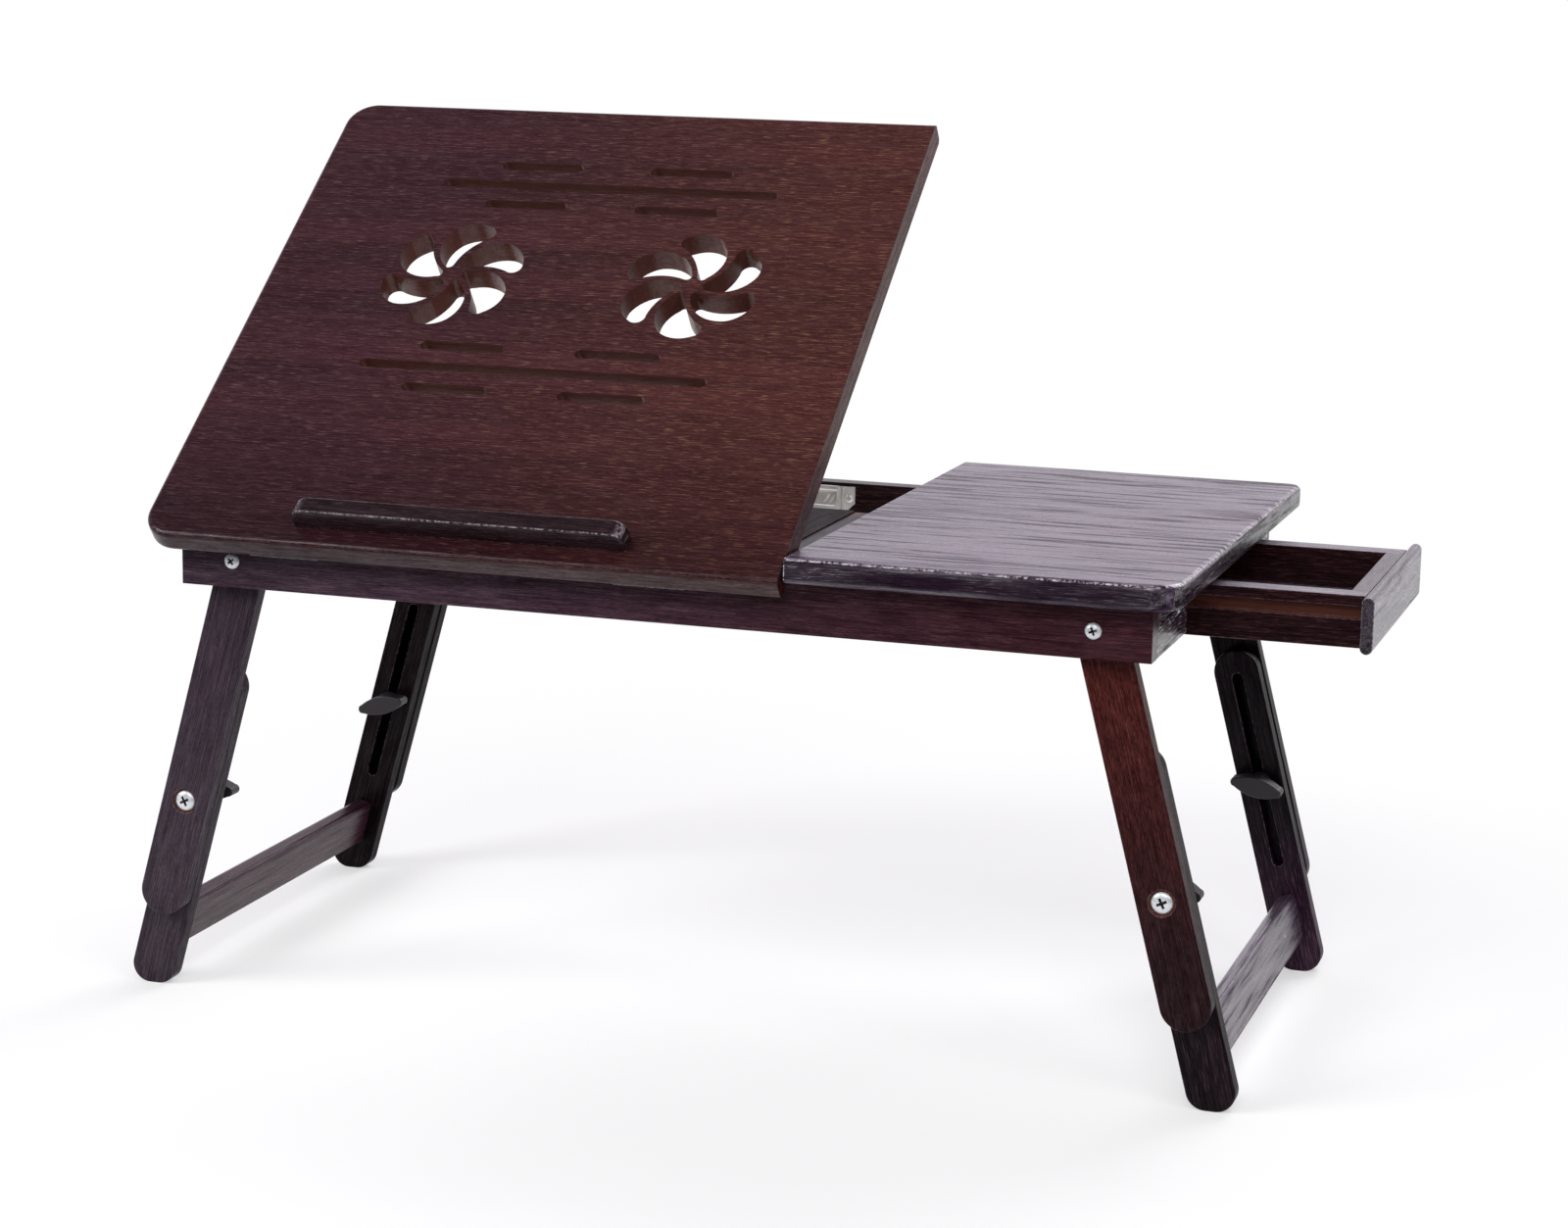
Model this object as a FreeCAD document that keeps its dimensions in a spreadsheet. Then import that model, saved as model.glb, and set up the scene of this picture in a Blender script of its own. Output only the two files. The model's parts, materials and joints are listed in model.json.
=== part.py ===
import FreeCAD, Part
import Sketcher
import math
import os

os.makedirs("parts", exist_ok=True)

# Lap desk: a wooden bed table with a tilting reading panel on the left, a fixed tray on the
# right, a drawer under the tray and two folding leg frames whose length can be changed.
# Desk frame: X to the right from the panel's left edge, Y away from the front edge of the top,
# Z up from the tray's upper face. Every piece is moved from there to the part's own frame, whose
# origin lies on the floor, in the middle of the space the desk takes as it stands.

doc = FreeCAD.newDocument("LapDesk")
sheet = doc.addObject("Spreadsheet::Sheet", "Sizes")


class Size:
    """A number together with the expression that gives it from the sheet."""

    def __init__(self, text, number):
        self.text = text
        self.number = number

    def mix(self, sign, other, number):
        text = other.text if isinstance(other, Size) else repr(float(other))
        return Size(f"({self.text} {sign} {text})", number)

    def __add__(self, other):
        return self.mix("+", other, self.number + plain(other))

    def __sub__(self, other):
        return self.mix("-", other, self.number - plain(other))

    def __mul__(self, other):
        return self.mix("*", other, self.number * plain(other))

    def __truediv__(self, other):
        return self.mix("/", other, self.number / plain(other))

    def __neg__(self):
        return self * -1


def plain(value):
    return value.number if isinstance(value, Size) else float(value)


def given(alias, number):
    row = given.rows = given.rows + 1
    sheet.set(f"A{row}", alias)
    sheet.set(f"B{row}", str(number))
    sheet.setAlias(f"B{row}", alias)
    return Size(f"Sizes.{alias}", float(number))


given.rows = 0


def cosine(angle):
    return Size(f"cos({angle.text})", math.cos(math.radians(angle.number)))


def sine(angle):
    return Size(f"sin({angle.text})", math.sin(math.radians(angle.number)))


def tangent(angle):
    return Size(f"tan({angle.text})", math.tan(math.radians(angle.number)))


# Driving dimensions, in millimetres and degrees. Each becomes a row of the sheet, below

# The top
top_length = 547
top_depth = 340
board_thick = 13
panel_length = 349
top_gap = 1.5
corner_round = 17
tray_back_round = 8
edge_round = 3
end_overhang_left = 15
end_overhang_right = 15
face_overhang = 16

# The frame under the top
rail_height = 28
rail_thick = 11
center_rail_thick = 12
guide_thick = 11
drawer_play = 1
drawer_back_play = 1.8
rack_thick = 2.7
rack_width = 40
rack_depth = 172
rack_notch = 1.2
rack_notch_long = 14
rack_pitch = 12
ledge_width = 39
ledge_drop = 1
fold_clear = 0.5

# The legs
leg_splay = 15
pivot_inset = 29
bar_thick = 10.5
bar_gap = 0.4
upper_width = 26
upper_reach = 206
lower_width = 25
lower_start = 64
foot_reach = 250.8
foot_round = 10
bolt_reach = 140
bolt_radius = 2.7
bolt_head_radius = 5.6
bolt_head_high = 2.2
bolt_seat_deep = 2
bolt_seat_rim = 1.3
edge_soft = 1
slot_start = 77
slot_end = 189
slot_width = 6
stretcher_start = 206
stretcher_high = 25
stretcher_thick = 10
stretcher_round = 3
nail_radius = 0.9
nail_deep = 5
nail_inset = 44
pivot_screw_radius = 2.5
pivot_head_radius = 4.2
pivot_head_high = 2.2
running_gap = 0.05
face_gap = 0.3

# A screw head, as shares of its own height and radius
crown_share = 0.55
crown_flat_share = 0.62
cross_reach_share = 0.9
cross_slit_share = 0.2
cross_deep_share = 0.5

# The wing knobs
knob_span = 29
knob_width = 11
knob_tip_round = 2.6
knob_hub_radius = 6
knob_hub_deep = 5.5
knob_wing_deep = 9.5
knob_bore_deep = 9
knob_soft = 0.8
knob_turn_left_front = -14
knob_turn_left_back = -30
knob_turn_right_front = 30
knob_turn_right_back = 27

# The drawer
drawer_width = 141
drawer_length = 170
drawer_open = 88
drawer_drop = 2.8
drawer_side_high = 26.5
drawer_side_thick = 14
drawer_wall_thick = 9
drawer_floor_thick = 3
drawer_floor_rise = 3
drawer_tongue = 3
drawer_face_thick = 6.3
drawer_face_high = 28.6
drawer_face_lip = 12
drawer_face_rise = 1.5
groove_drop = 5.5
groove_high = 6.5
groove_deep = 4.5
hook_wire_radius = 0.6
hook_drop = 9
hook_reach = 4
hook_inset = 52
hook_edge = 10.5

# The tilting panel, its vents, book stop, hinges and prop
panel_tilt = 38
axis_inset = 14
vent_middle = 177
wheel_radius = 39.8
wheel_spread = 69.1
wheel_up = 203
wheel_turn = 33.75
vent_width = 6.2
short_vent = 48.5
short_vent_spread = 44.2
long_vent = 197
upper_long_up = 275.6
lower_long_up = 131.8
short_vent_step = 15.7
stop_start = 85
stop_length = 182
stop_up = 12
stop_deep = 10.7
stop_high = 12
stop_end_round = 8
stop_edge_round = 1.5
hinge_width = 38
hinge_inset = 55
hinge_leaf_thick = 1
hinge_leaf_deep = 10
hinge_leaf_long = 18
hinge_barrel_radius = 2
hinge_pin_radius = 1
hinge_screw_radius = 1.5
hinge_screw_long = 8
hinge_screw_along = 11.7
hinge_head_radius = 2.1
prop_reach = 105
prop_thick = 6
prop_width = 8
prop_drop = 4
prop_rod_radius = 1.5
prop_inset = 46
prop_rod_over = 14
prop_bracket_wide = 6
prop_bracket_long = 12

# The catch on the back rail
catch_start = 264
catch_length = 22.2
catch_ear = 6.2
catch_corner = 2
catch_deep = 8.5
catch_far_deep = 2.2
catch_high = 14
catch_drop = 2
catch_sheet = 1
catch_flange_room = 19.5
catch_barrel_radius = 1.8
catch_pin_radius = 0.8
catch_pin_inset = 4.4
catch_pin_drop = 1.1
catch_head_radius = 2.4
catch_head_high = 1
catch_screw_radius = 1.2
catch_screw_long = 8
catch_screw_along = 2.8
catch_screw_drop = 6.7
flap_lean = 40
flap_high = 10.5
flap_window_start = 11.6
flap_window_step = 3.2
flap_window_wide = 1.4
flap_window_high = 6
flap_window_drop = 3
flap_window_lean = 20
striker_long = 6
striker_inset = 4.5

for alias, number in list(globals().items()):
    if isinstance(number, (int, float)):
        globals()[alias] = given(alias, number)

ZERO = Size("0", 0.0)
RACK_NOTCHES = 4

# Places that several pieces share
rail_top = -board_thick
rail_bottom = rail_top - rail_height
rail_left = end_overhang_left
rail_right = top_length - end_overhang_right
front_out = face_overhang
front_in = face_overhang + rail_thick
back_in = top_depth - front_in
back_out = top_depth - front_out
pivot_z = rail_top - rail_height / 2
pivot_left = rail_left + pivot_inset
pivot_right = rail_right - pivot_inset
floor_z = pivot_z - foot_reach * cosine(leg_splay)
upper_near = front_in + bar_gap
lower_near = upper_near + bar_thick + bar_gap
lower_far = lower_near + bar_thick
middle_y = top_depth / 2
drawer_front_y = middle_y - drawer_width / 2
drawer_back_y = middle_y + drawer_width / 2
guide_in_front = drawer_front_y - drawer_play
guide_in_back = drawer_back_y + drawer_play
drawer_top = rail_top - drawer_drop
drawer_mouth = rail_right + face_gap + drawer_open
drawer_rear = drawer_mouth - drawer_length
center_left = drawer_rear - drawer_open - drawer_back_play - center_rail_thick
center_right = center_left + center_rail_thick
rack_low = pivot_z + stretcher_thick / 2 + fold_clear
catch_screw_x = catch_start + catch_length + catch_screw_along
catch_screw_z = rail_top - catch_drop - catch_screw_drop
hinge_y = axis_inset
hinge_z = rail_top

# The middle of the space the desk takes: left foot to drawer face, panel's lip to tray's back
left_foot = pivot_left - foot_reach * sine(leg_splay) - lower_width / 2 * cosine(leg_splay)
drawer_end = drawer_mouth + drawer_face_thick
lip_y = hinge_y - axis_inset * cosine(panel_tilt) - board_thick * sine(panel_tilt)
origin_x = (left_foot + drawer_end) / 2
origin_y = (lip_y + top_depth) / 2
origin_z = floor_z

nodes = []


def bind(thing, path, value):
    if isinstance(value, Size):
        thing.setExpression(path, value.text)


def put(thing, place, axis=None, angle=None):
    """Set a placement: a point, and a turn by an angle about an axis."""
    numbers = [plain(v) for v in place]
    turn = FreeCAD.Rotation()
    if axis is not None:
        turn = FreeCAD.Rotation(FreeCAD.Vector(*axis), plain(angle))
    thing.Placement = FreeCAD.Placement(FreeCAD.Vector(*numbers), turn)
    for letter, value in zip("xyz", place):
        bind(thing, f"Placement.Base.{letter}", value)
    if isinstance(angle, Size):
        bind(thing, "Placement.Rotation.Angle", angle)


def node(thing, label, place=(ZERO, ZERO, ZERO), axis=None, angle=None):
    """Name a finished piece and place it, from the desk frame, in the part's frame."""
    thing.Label = label
    x, y, z = place
    put(thing, (x - origin_x, y - origin_y, z - origin_z), axis, angle)
    nodes.append(thing)
    return thing


def box(name, size, place=(0, 0, 0)):
    thing = doc.addObject("Part::Box", name)
    for prop, value in zip(("Length", "Width", "Height"), size):
        setattr(thing, prop, plain(value))
        bind(thing, prop, value)
    put(thing, place)
    return thing


TURNS = {"X": ((0, 1, 0), 90), "Y": ((1, 0, 0), -90), "Z": (None, None)}


def rod(name, radius, length, axis, place=(0, 0, 0)):
    """A round bar from a point along +X, +Y or +Z."""
    thing = doc.addObject("Part::Cylinder", name)
    thing.Radius = plain(radius)
    thing.Height = plain(length)
    bind(thing, "Radius", radius)
    bind(thing, "Height", length)
    put(thing, place, *TURNS[axis])
    return thing


def cone(name, first, second, length, axis, place=(0, 0, 0)):
    thing = doc.addObject("Part::Cone", name)
    for prop, value in zip(("Radius1", "Radius2", "Height"), (first, second, length)):
        setattr(thing, prop, plain(value))
        bind(thing, prop, value)
    put(thing, place, *TURNS[axis])
    return thing


def cut(name, base, tools):
    """Take several tools away from a base, one after the other."""
    for count, tool in enumerate(tools):
        thing = doc.addObject("Part::Cut", f"{name}_{count}")
        thing.Base = base
        thing.Tool = tool
        base = thing
    return base


def fuse(name, pieces):
    thing = doc.addObject("Part::MultiFuse", name)
    thing.Shapes = pieces
    thing.Refine = True
    return thing


def group(name, pieces):
    thing = doc.addObject("Part::Compound", name)
    thing.Links = pieces
    return thing


def body(name):
    return doc.addObject("PartDesign::Body", name + "_body")


def sketch_on(owner, role, name, offset=None):
    sketch = owner.newObject("Sketcher::SketchObject", name)
    plane = [f for f in owner.Origin.OriginFeatures if f.Role == role][0]
    sketch.AttachmentSupport = [(plane, "")]
    sketch.MapMode = "FlatFace"
    if offset is not None:
        numbers = FreeCAD.Vector(*[plain(v) for v in offset])
        sketch.AttachmentOffset = FreeCAD.Placement(numbers, FreeCAD.Rotation())
        for letter, value in zip("xyz", offset):
            bind(sketch, f"AttachmentOffset.Base.{letter}", value)
    return sketch


def pin(sketch, shape, end, point):
    """Hold one point of a sketch shape at bound distances from the sketch's origin."""
    for kind, value in (("DistanceX", point[0]), ("DistanceY", point[1])):
        rule = sketch.addConstraint(Sketcher.Constraint(kind, -1, 1, shape, end, plain(value)))
        bind(sketch, f"Constraints[{rule}]", value)


def outline(sketch, start, steps):
    """A closed outline. A step is a line's end, or an arc's middle and end."""
    flat = FreeCAD.Vector
    spot = start
    shapes = []
    for step in steps:
        end = step[-1]
        here = flat(plain(spot[0]), plain(spot[1]), 0)
        there = flat(plain(end[0]), plain(end[1]), 0)
        if len(step) == 1:
            shapes.append((sketch.addGeometry(Part.LineSegment(here, there), False), 1, 2))
        else:
            over = flat(plain(step[0][0]), plain(step[0][1]), 0)
            clockwise = (over - here).cross(there - over).z < 0
            arc = Part.Arc(there, over, here) if clockwise else Part.Arc(here, over, there)
            index = sketch.addGeometry(arc, False)
            first = 2 if clockwise else 1
            shapes.append((index, first, 3 - first))
            mark = sketch.addGeometry(Part.Point(over), True)
            pin(sketch, mark, 1, step[0])
            sketch.addConstraint(Sketcher.Constraint("PointOnObject", mark, 1, index))
        pin(sketch, shapes[-1][0], shapes[-1][1], spot)
        spot = end
    for this, after in zip(shapes, shapes[1:] + shapes[:1]):
        sketch.addConstraint(Sketcher.Constraint("Coincident", this[0], this[2], after[0], after[1]))
    return sketch


def pad(owner, sketch, length, reverse=False):
    thing = owner.newObject("PartDesign::Pad", sketch.Name + "_pad")
    thing.Profile = sketch
    thing.Length = plain(length)
    bind(thing, "Length", length)
    thing.Reversed = reverse
    doc.recompute()
    return thing


def pocket(owner, sketch, length=None, reverse=False):
    """Cut a sketch through, or to a depth, and see that it took something away."""
    before = owner.Tip.Shape.Volume
    thing = owner.newObject("PartDesign::Pocket", sketch.Name + "_cut")
    thing.Profile = sketch
    if length is None:
        thing.Type = 1
    else:
        thing.Length = plain(length)
        bind(thing, "Length", length)
    thing.Reversed = reverse
    doc.recompute()
    if thing.Shape.Volume > before - 0.01:
        raise RuntimeError(f"{thing.Name} cuts nothing")
    return thing


def fillet(owner, name, radius, test):
    """Round the edges of the body's last feature that pass a test."""
    base = owner.Tip
    chosen = [f"Edge{i}" for i, edge in enumerate(base.Shape.Edges, 1) if test(edge)]
    thing = owner.newObject("PartDesign::Fillet", name)
    thing.Base = (base, chosen)
    thing.Radius = plain(radius)
    bind(thing, "Radius", radius)
    doc.recompute()
    return thing


def middle(edge):
    first, last = edge.ParameterRange
    return edge.valueAt((first + last) / 2)


def along(edge, letter):
    """True for a straight edge that runs along one axis."""
    if edge.Curve.TypeId != "Part::GeomLine":
        return False
    way = edge.Vertexes[-1].Point - edge.Vertexes[0].Point
    return abs(getattr(way, letter)) > 0.999 * way.Length


def close(a, b):
    return abs(a - plain(b)) < 1e-4


def corners(left, right, low, high):
    """The start and steps of a rectangle's outline."""
    return (left, low), [[(right, low)], [(right, high)], [(left, high)], [(left, low)]]


def stadium(left, right, level, width):
    """The start and steps of a round-ended slot that runs along the sketch's X."""
    low = level - width / 2
    high = level + width / 2
    return (left, low), [
        [(right, low)],
        [(right + width / 2, level), (right, high)],
        [(left, high)],
        [(left - width / 2, level), (left, low)],
    ]


def board(name, length, depth, rounded_left, back_round):
    """A board of the top with two rounded corners and softened edges, lying from its corner."""
    owner = body(name)
    start, steps = corners(ZERO, length, ZERO, depth)
    pad(owner, outline(sketch_on(owner, "XY_Plane", name + "_plan"), start, steps), board_thick)
    side = ZERO if rounded_left else length
    fillet(owner, name + "_front_corner", corner_round, lambda e: upright(e, side, ZERO))
    fillet(owner, name + "_back_corner", back_round, lambda e: upright(e, side, depth))
    fillet(owner, name + "_edges", edge_round, lambda e: soft_edge(e, side))
    return owner


def upright(edge, x, y):
    """The edge that stands at one corner of a board."""
    return along(edge, "z") and close(middle(edge).x, x) and close(middle(edge).y, y)


def soft_edge(edge, side):
    """The rims of both faces, but not along the end that meets the other board."""
    spot = middle(edge)
    flat = close(spot.z, 0) or close(spot.z, board_thick)
    meets = along(edge, "y") and not close(spot.x, side)
    return flat and not meets


# The tray and the frame

tray_left = panel_length + top_gap
tray = board("tray", top_length - tray_left, top_depth, False, tray_back_round)
node(tray, "fixed_tray", (tray_left, ZERO, rail_top))

rail_length = rail_right - rail_left


def side_rail(name, y, more_bores=()):
    """A long rail with the holes of its two leg screws, and any more bores it is given."""
    plank = box(name + "_plank", (rail_length, rail_thick, rail_height))
    bores = []
    for end, x in (("left", pivot_inset), ("right", rail_length - pivot_inset)):
        bore = pivot_screw_radius + running_gap
        bores.append(rod(f"{name}_bore_{end}", bore, rail_thick, "Y", (x, ZERO, rail_height / 2)))
    node(cut(name, plank, bores + list(more_bores)), name, (rail_left, y, rail_bottom))


catch_bore_place = (catch_screw_x - rail_left, ZERO, catch_screw_z - rail_bottom)
side_rail("front_rail", front_out)
catch_bore = rod("rail_catch_bore", catch_screw_radius, catch_screw_long, "Y", catch_bore_place)
side_rail("back_rail", back_in, [catch_bore])
node(
    box("left_end", (rail_thick, back_in - front_in, rail_height)),
    "left_end_rail",
    (rail_left, front_in, rail_bottom),
)
block_depth = guide_in_front - front_in
for side, y in (("front", front_in), ("back", guide_in_back)):
    block = box(f"end_block_{side}", (rail_thick, block_depth, rail_height))
    node(block, f"right_end_block_{side}", (rail_right - rail_thick, y, rail_bottom))

guide_length = rail_right - rail_thick - center_right
runner_play = face_gap
runner_high = groove_high - runner_play * 2
runner_deep = drawer_play + groove_deep - runner_play
runner_top = drawer_top - groove_drop - runner_play
for side, y in (("front", guide_in_front - guide_thick), ("back", guide_in_back)):
    wall = box(f"guide_{side}", (guide_length, guide_thick, rail_height))
    node(wall, f"drawer_guide_{side}", (center_right, y, rail_bottom))
for side, y in (("front", guide_in_front), ("back", guide_in_back - runner_deep)):
    strip = box(f"runner_{side}", (guide_length, runner_deep, runner_high))
    node(strip, f"drawer_runner_{side}", (center_right, y, runner_top - runner_high))

center_depth = guide_in_back - guide_in_front + guide_thick * 2
node(
    box("divider", (center_rail_thick, center_depth, rail_height)),
    "center_rail",
    (center_left, guide_in_front - guide_thick, rail_bottom),
)


def rack(name, x, notch_x):
    """A thin board whose upper face has shallow notches for one end of the prop's foot."""
    plank = box(name + "_plank", (rack_width, rack_depth, rack_thick))
    notches = []
    for count in range(RACK_NOTCHES):
        back = rack_foot - rack_start + rack_pitch * count
        low = rack_thick - rack_notch
        width = prop_rod_radius * 2
        size = (rack_notch_long, width, rack_notch)
        notches.append(box(f"{name}_notch_{count}", size, (notch_x, back, low)))
    node(cut(name, plank, notches), name, (x, rack_start, rack_low))


rack_start = middle_y - rack_depth / 2
rack_foot = hinge_y + prop_reach * 2 * cosine(panel_tilt) - prop_rod_radius
ledge_left = center_left - ledge_width
rack("rack_left", rail_left + rail_thick, rack_width - rack_notch_long)
rack("rack_right", ledge_left - rack_width, ZERO)
node(
    box("ledge", (ledge_width, rack_depth, rack_thick - ledge_drop)),
    "center_ledge",
    (ledge_left, rack_start, rack_low),
)


def screw(name, radius, head_radius, head_high, length, place, flip):
    """A round-headed cross-recess screw along Y. Its head's seat is the given place."""
    shank = rod(name + "_shank", radius, length, "Y")
    crown = head_high * crown_share
    rim = rod(name + "_rim", head_radius, head_high - crown, "Y", (ZERO, crown - head_high, ZERO))
    top = head_radius * crown_flat_share
    dome = cone(name + "_dome", top, head_radius, crown, "Y", (ZERO, -head_high, ZERO))
    whole = fuse(name + "_solid", [shank, rim, dome])
    arm = head_radius * cross_reach_share
    slit = head_radius * cross_slit_share
    deep = head_high * cross_deep_share
    flat = box(name + "_flat", (arm, deep, slit), (-arm / 2, -head_high, -slit / 2))
    tall = box(name + "_tall", (slit, deep, arm), (-slit / 2, -head_high, -arm / 2))
    thing = cut(name, whole, [flat, tall])
    if flip:
        put(thing, place, (0, 0, 1), 180)
    else:
        put(thing, place)
    return thing


pivot_screw_long = rail_thick + bar_gap + bar_thick
pivot_screws = []
for end, x in (("left", pivot_left), ("right", pivot_right)):
    for side, y, flip in (("front", front_out, False), ("back", back_out, True)):
        pivot_screws.append(
            screw(
                f"pivot_screw_{end}_{side}",
                pivot_screw_radius,
                pivot_head_radius,
                pivot_head_high,
                pivot_screw_long,
                (x, y, pivot_z),
                flip,
            )
        )
node(group("pivot_screws", pivot_screws), "leg_pivot_screws")

hooks = []
hook_x = top_length - hook_edge
for side, y, way in (("front", hook_inset, 1), ("back", top_depth - hook_inset, -1)):
    stem = rod(f"hook_stem_{side}", hook_wire_radius, hook_drop, "Z", (hook_x, y, rail_top - hook_drop))
    foot_y = y if way > 0 else y - hook_reach
    foot = rod(f"hook_foot_{side}", hook_wire_radius, hook_reach, "Y", (hook_x, foot_y, rail_top - hook_drop))
    hooks.append(fuse(f"hook_{side}", [stem, foot]))
node(group("hooks", hooks), "hook_pins")

# The legs. A bar's own frame has its pivot at the origin and hangs along -Z

def lean(end):
    return leg_splay if end == "left" else -leg_splay


def upper_bar(end, side):
    """An outer leg bar, round at both ends, bored for its pivot and its bolt."""
    name = f"{end}_upper_bar_{side}"
    half = upper_width / 2
    owner = body(name)
    start = (-half, ZERO)
    steps = [
        [(ZERO, half), (half, ZERO)],
        [(half, half - upper_reach)],
        [(ZERO, -upper_reach), (-half, half - upper_reach)],
        [start],
    ]
    pad(owner, outline(sketch_on(owner, "XZ_Plane", name + "_plan"), start, steps), bar_thick, True)
    fillet(owner, name + "_edges", edge_soft, lambda e: not along(e, "y"))
    pivot_bore = pivot_screw_radius + running_gap
    seat = bolt_head_radius + bolt_seat_rim
    seat_y = ZERO if side == "front" else bar_thick - bolt_seat_deep
    tools = [
        rod(name + "_pivot_bore", pivot_bore, bar_thick, "Y"),
        rod(name + "_bolt_bore", bolt_radius, bar_thick, "Y", (ZERO, ZERO, -bolt_reach)),
        rod(name + "_seat", seat, bolt_seat_deep, "Y", (ZERO, seat_y, -bolt_reach)),
    ]
    y = upper_near if side == "front" else top_depth - upper_near - bar_thick
    x = pivot_left if end == "left" else pivot_right
    node(cut(name + "_cut", owner, tools), name, (x, y, pivot_z), (0, 1, 0), lean(end))


def lower_bar(end, side):
    """An inner leg bar: round top, long slot for the bolt, and a foot that lies flat."""
    name = f"{end}_lower_bar_{side}"
    half = lower_width / 2
    slope = tangent(leg_splay) * half
    rise = slope if end == "left" else -slope
    top = -(lower_start + half)
    owner = body(name)
    start = (-half, top)
    steps = [
        [(ZERO, -lower_start), (half, top)],
        [(half, rise - foot_reach)],
        [(-half, -foot_reach - rise)],
        [start],
    ]
    pad(owner, outline(sketch_on(owner, "XZ_Plane", name + "_plan"), start, steps), bar_thick, True)
    foot_line = plain(-foot_reach + slope) + 0.01
    fillet(owner, name + "_foot", foot_round, lambda e: along(e, "y") and middle(e).z < foot_line)
    fillet(owner, name + "_edges", edge_soft, lambda e: not along(e, "y"))
    reach = slot_width / 2
    tools = [
        box(
            name + "_slot",
            (slot_width, bar_thick, slot_end - slot_start - slot_width),
            (-reach, ZERO, reach - slot_end),
        ),
        rod(name + "_slot_top", reach, bar_thick, "Y", (ZERO, ZERO, -slot_start - reach)),
        rod(name + "_slot_low", reach, bar_thick, "Y", (ZERO, ZERO, reach - slot_end)),
    ]
    y = lower_near if side == "front" else top_depth - lower_far
    x = pivot_left if end == "left" else pivot_right
    node(cut(name + "_cut", owner, tools), name, (x, y, pivot_z), (0, 1, 0), lean(end))


stretcher_long = top_depth - lower_far * 2
for end, x in (("left", pivot_left), ("right", pivot_right)):
    for side in ("front", "back"):
        upper_bar(end, side)
        lower_bar(end, side)
    owner = body(f"{end}_cross")
    start, steps = corners(
        -stretcher_thick / 2, stretcher_thick / 2, -stretcher_start - stretcher_high, -stretcher_start
    )
    pad(owner, outline(sketch_on(owner, "XZ_Plane", f"{end}_cross_plan"), start, steps), stretcher_long, True)
    top_line = -stretcher_start
    fillet(
        owner, f"{end}_cross_round", stretcher_round, lambda e: along(e, "y") and close(middle(e).z, top_line)
    )
    if end == "right":
        nail_z = -stretcher_start - stretcher_high / 2
        nail_y = stretcher_long - nail_inset
        nail_place = (stretcher_thick / 2 - nail_deep, nail_y, nail_z)
        hole = rod("nail_hole", nail_radius, nail_deep, "X", nail_place)
        bored = cut("right_cross_cut", owner, [hole])
        node(bored, "right_stretcher", (x, lower_far, pivot_z), (0, 1, 0), lean(end))
        nail = group("nail", [rod("nail_body", nail_radius, nail_deep, "X", nail_place)])
        node(nail, "right_stretcher_nail", (x, lower_far, pivot_z), (0, 1, 0), lean(end))
    else:
        node(owner, "left_stretcher", (x, lower_far, pivot_z), (0, 1, 0), lean(end))

bolt_long = bar_thick * 2 + bar_gap + face_gap - bolt_seat_deep + knob_bore_deep - face_gap
for end, x in (("left", pivot_left), ("right", pivot_right)):
    bolts = []
    far = top_depth - upper_near * 2
    for side, y, flip in (("front", bolt_seat_deep, False), ("back", far - bolt_seat_deep, True)):
        bolts.append(
            screw(
                f"bolt_{end}_{side}",
                bolt_radius,
                bolt_head_radius,
                bolt_head_high,
                bolt_long,
                (ZERO, y, -bolt_reach),
                flip,
            )
        )
    node(group(f"bolts_{end}", bolts), f"{end}_leg_bolts", (x, upper_near, pivot_z), (0, 1, 0), lean(end))


def knob(end, side, turn):
    """A wing knob: a round hub against the lower bar and two flat wings with round tips."""
    name = f"{end}_wing_knob_{side}"
    half = knob_span / 2 - knob_tip_round
    wide = knob_width / 2
    tip = knob_tip_round
    owner = body(name)
    start = (-half, -tip)
    steps = [
        [(ZERO, -wide), (half, -tip)],
        [(half + tip, ZERO), (half, tip)],
        [(ZERO, wide), (-half, tip)],
        [(-half - tip, ZERO), start],
    ]
    plan = outline(sketch_on(owner, "XZ_Plane", name + "_plan"), start, steps)
    pad(owner, plan, knob_wing_deep, True)
    fillet(owner, name + "_edges", knob_soft, lambda e: close(middle(e).y, knob_wing_deep))
    hub_long = knob_hub_deep + knob_wing_deep / 2
    hub = rod(name + "_hub", knob_hub_radius, hub_long, "Y", (ZERO, -knob_hub_deep, ZERO))
    whole = fuse(name + "_whole", [owner, hub])
    bore = rod(name + "_bore", bolt_radius + running_gap, knob_bore_deep, "Y", (ZERO, -knob_hub_deep, ZERO))
    thing = cut(name + "_bored", whole, [bore])
    put(thing, (ZERO, ZERO, ZERO), (0, 1, 0), turn)
    holder = group(name + "_turned", [thing])
    angle = lean(end)
    sign = 1 if end == "left" else -1
    x = (pivot_left if end == "left" else pivot_right) - bolt_reach * sine(leg_splay) * sign
    z = pivot_z - bolt_reach * cosine(leg_splay)
    if side == "front":
        y = lower_far + face_gap + knob_hub_deep
        node(holder, name, (x, y, z), (0, 1, 0), angle)
    else:
        y = top_depth - lower_far - face_gap - knob_hub_deep
        mirror = doc.addObject("Part::Mirroring", name + "_mirror")
        mirror.Source = holder
        mirror.Normal = FreeCAD.Vector(0, 1, 0)
        node(mirror, name, (x, y, z), (0, 1, 0), angle)


for end, side, turn in (
    ("left", "front", knob_turn_left_front),
    ("left", "back", knob_turn_left_back),
    ("right", "front", knob_turn_right_front),
    ("right", "back", knob_turn_right_back),
):
    knob(end, side, turn)

# The drawer, from the rear outer corner of its front side

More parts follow.
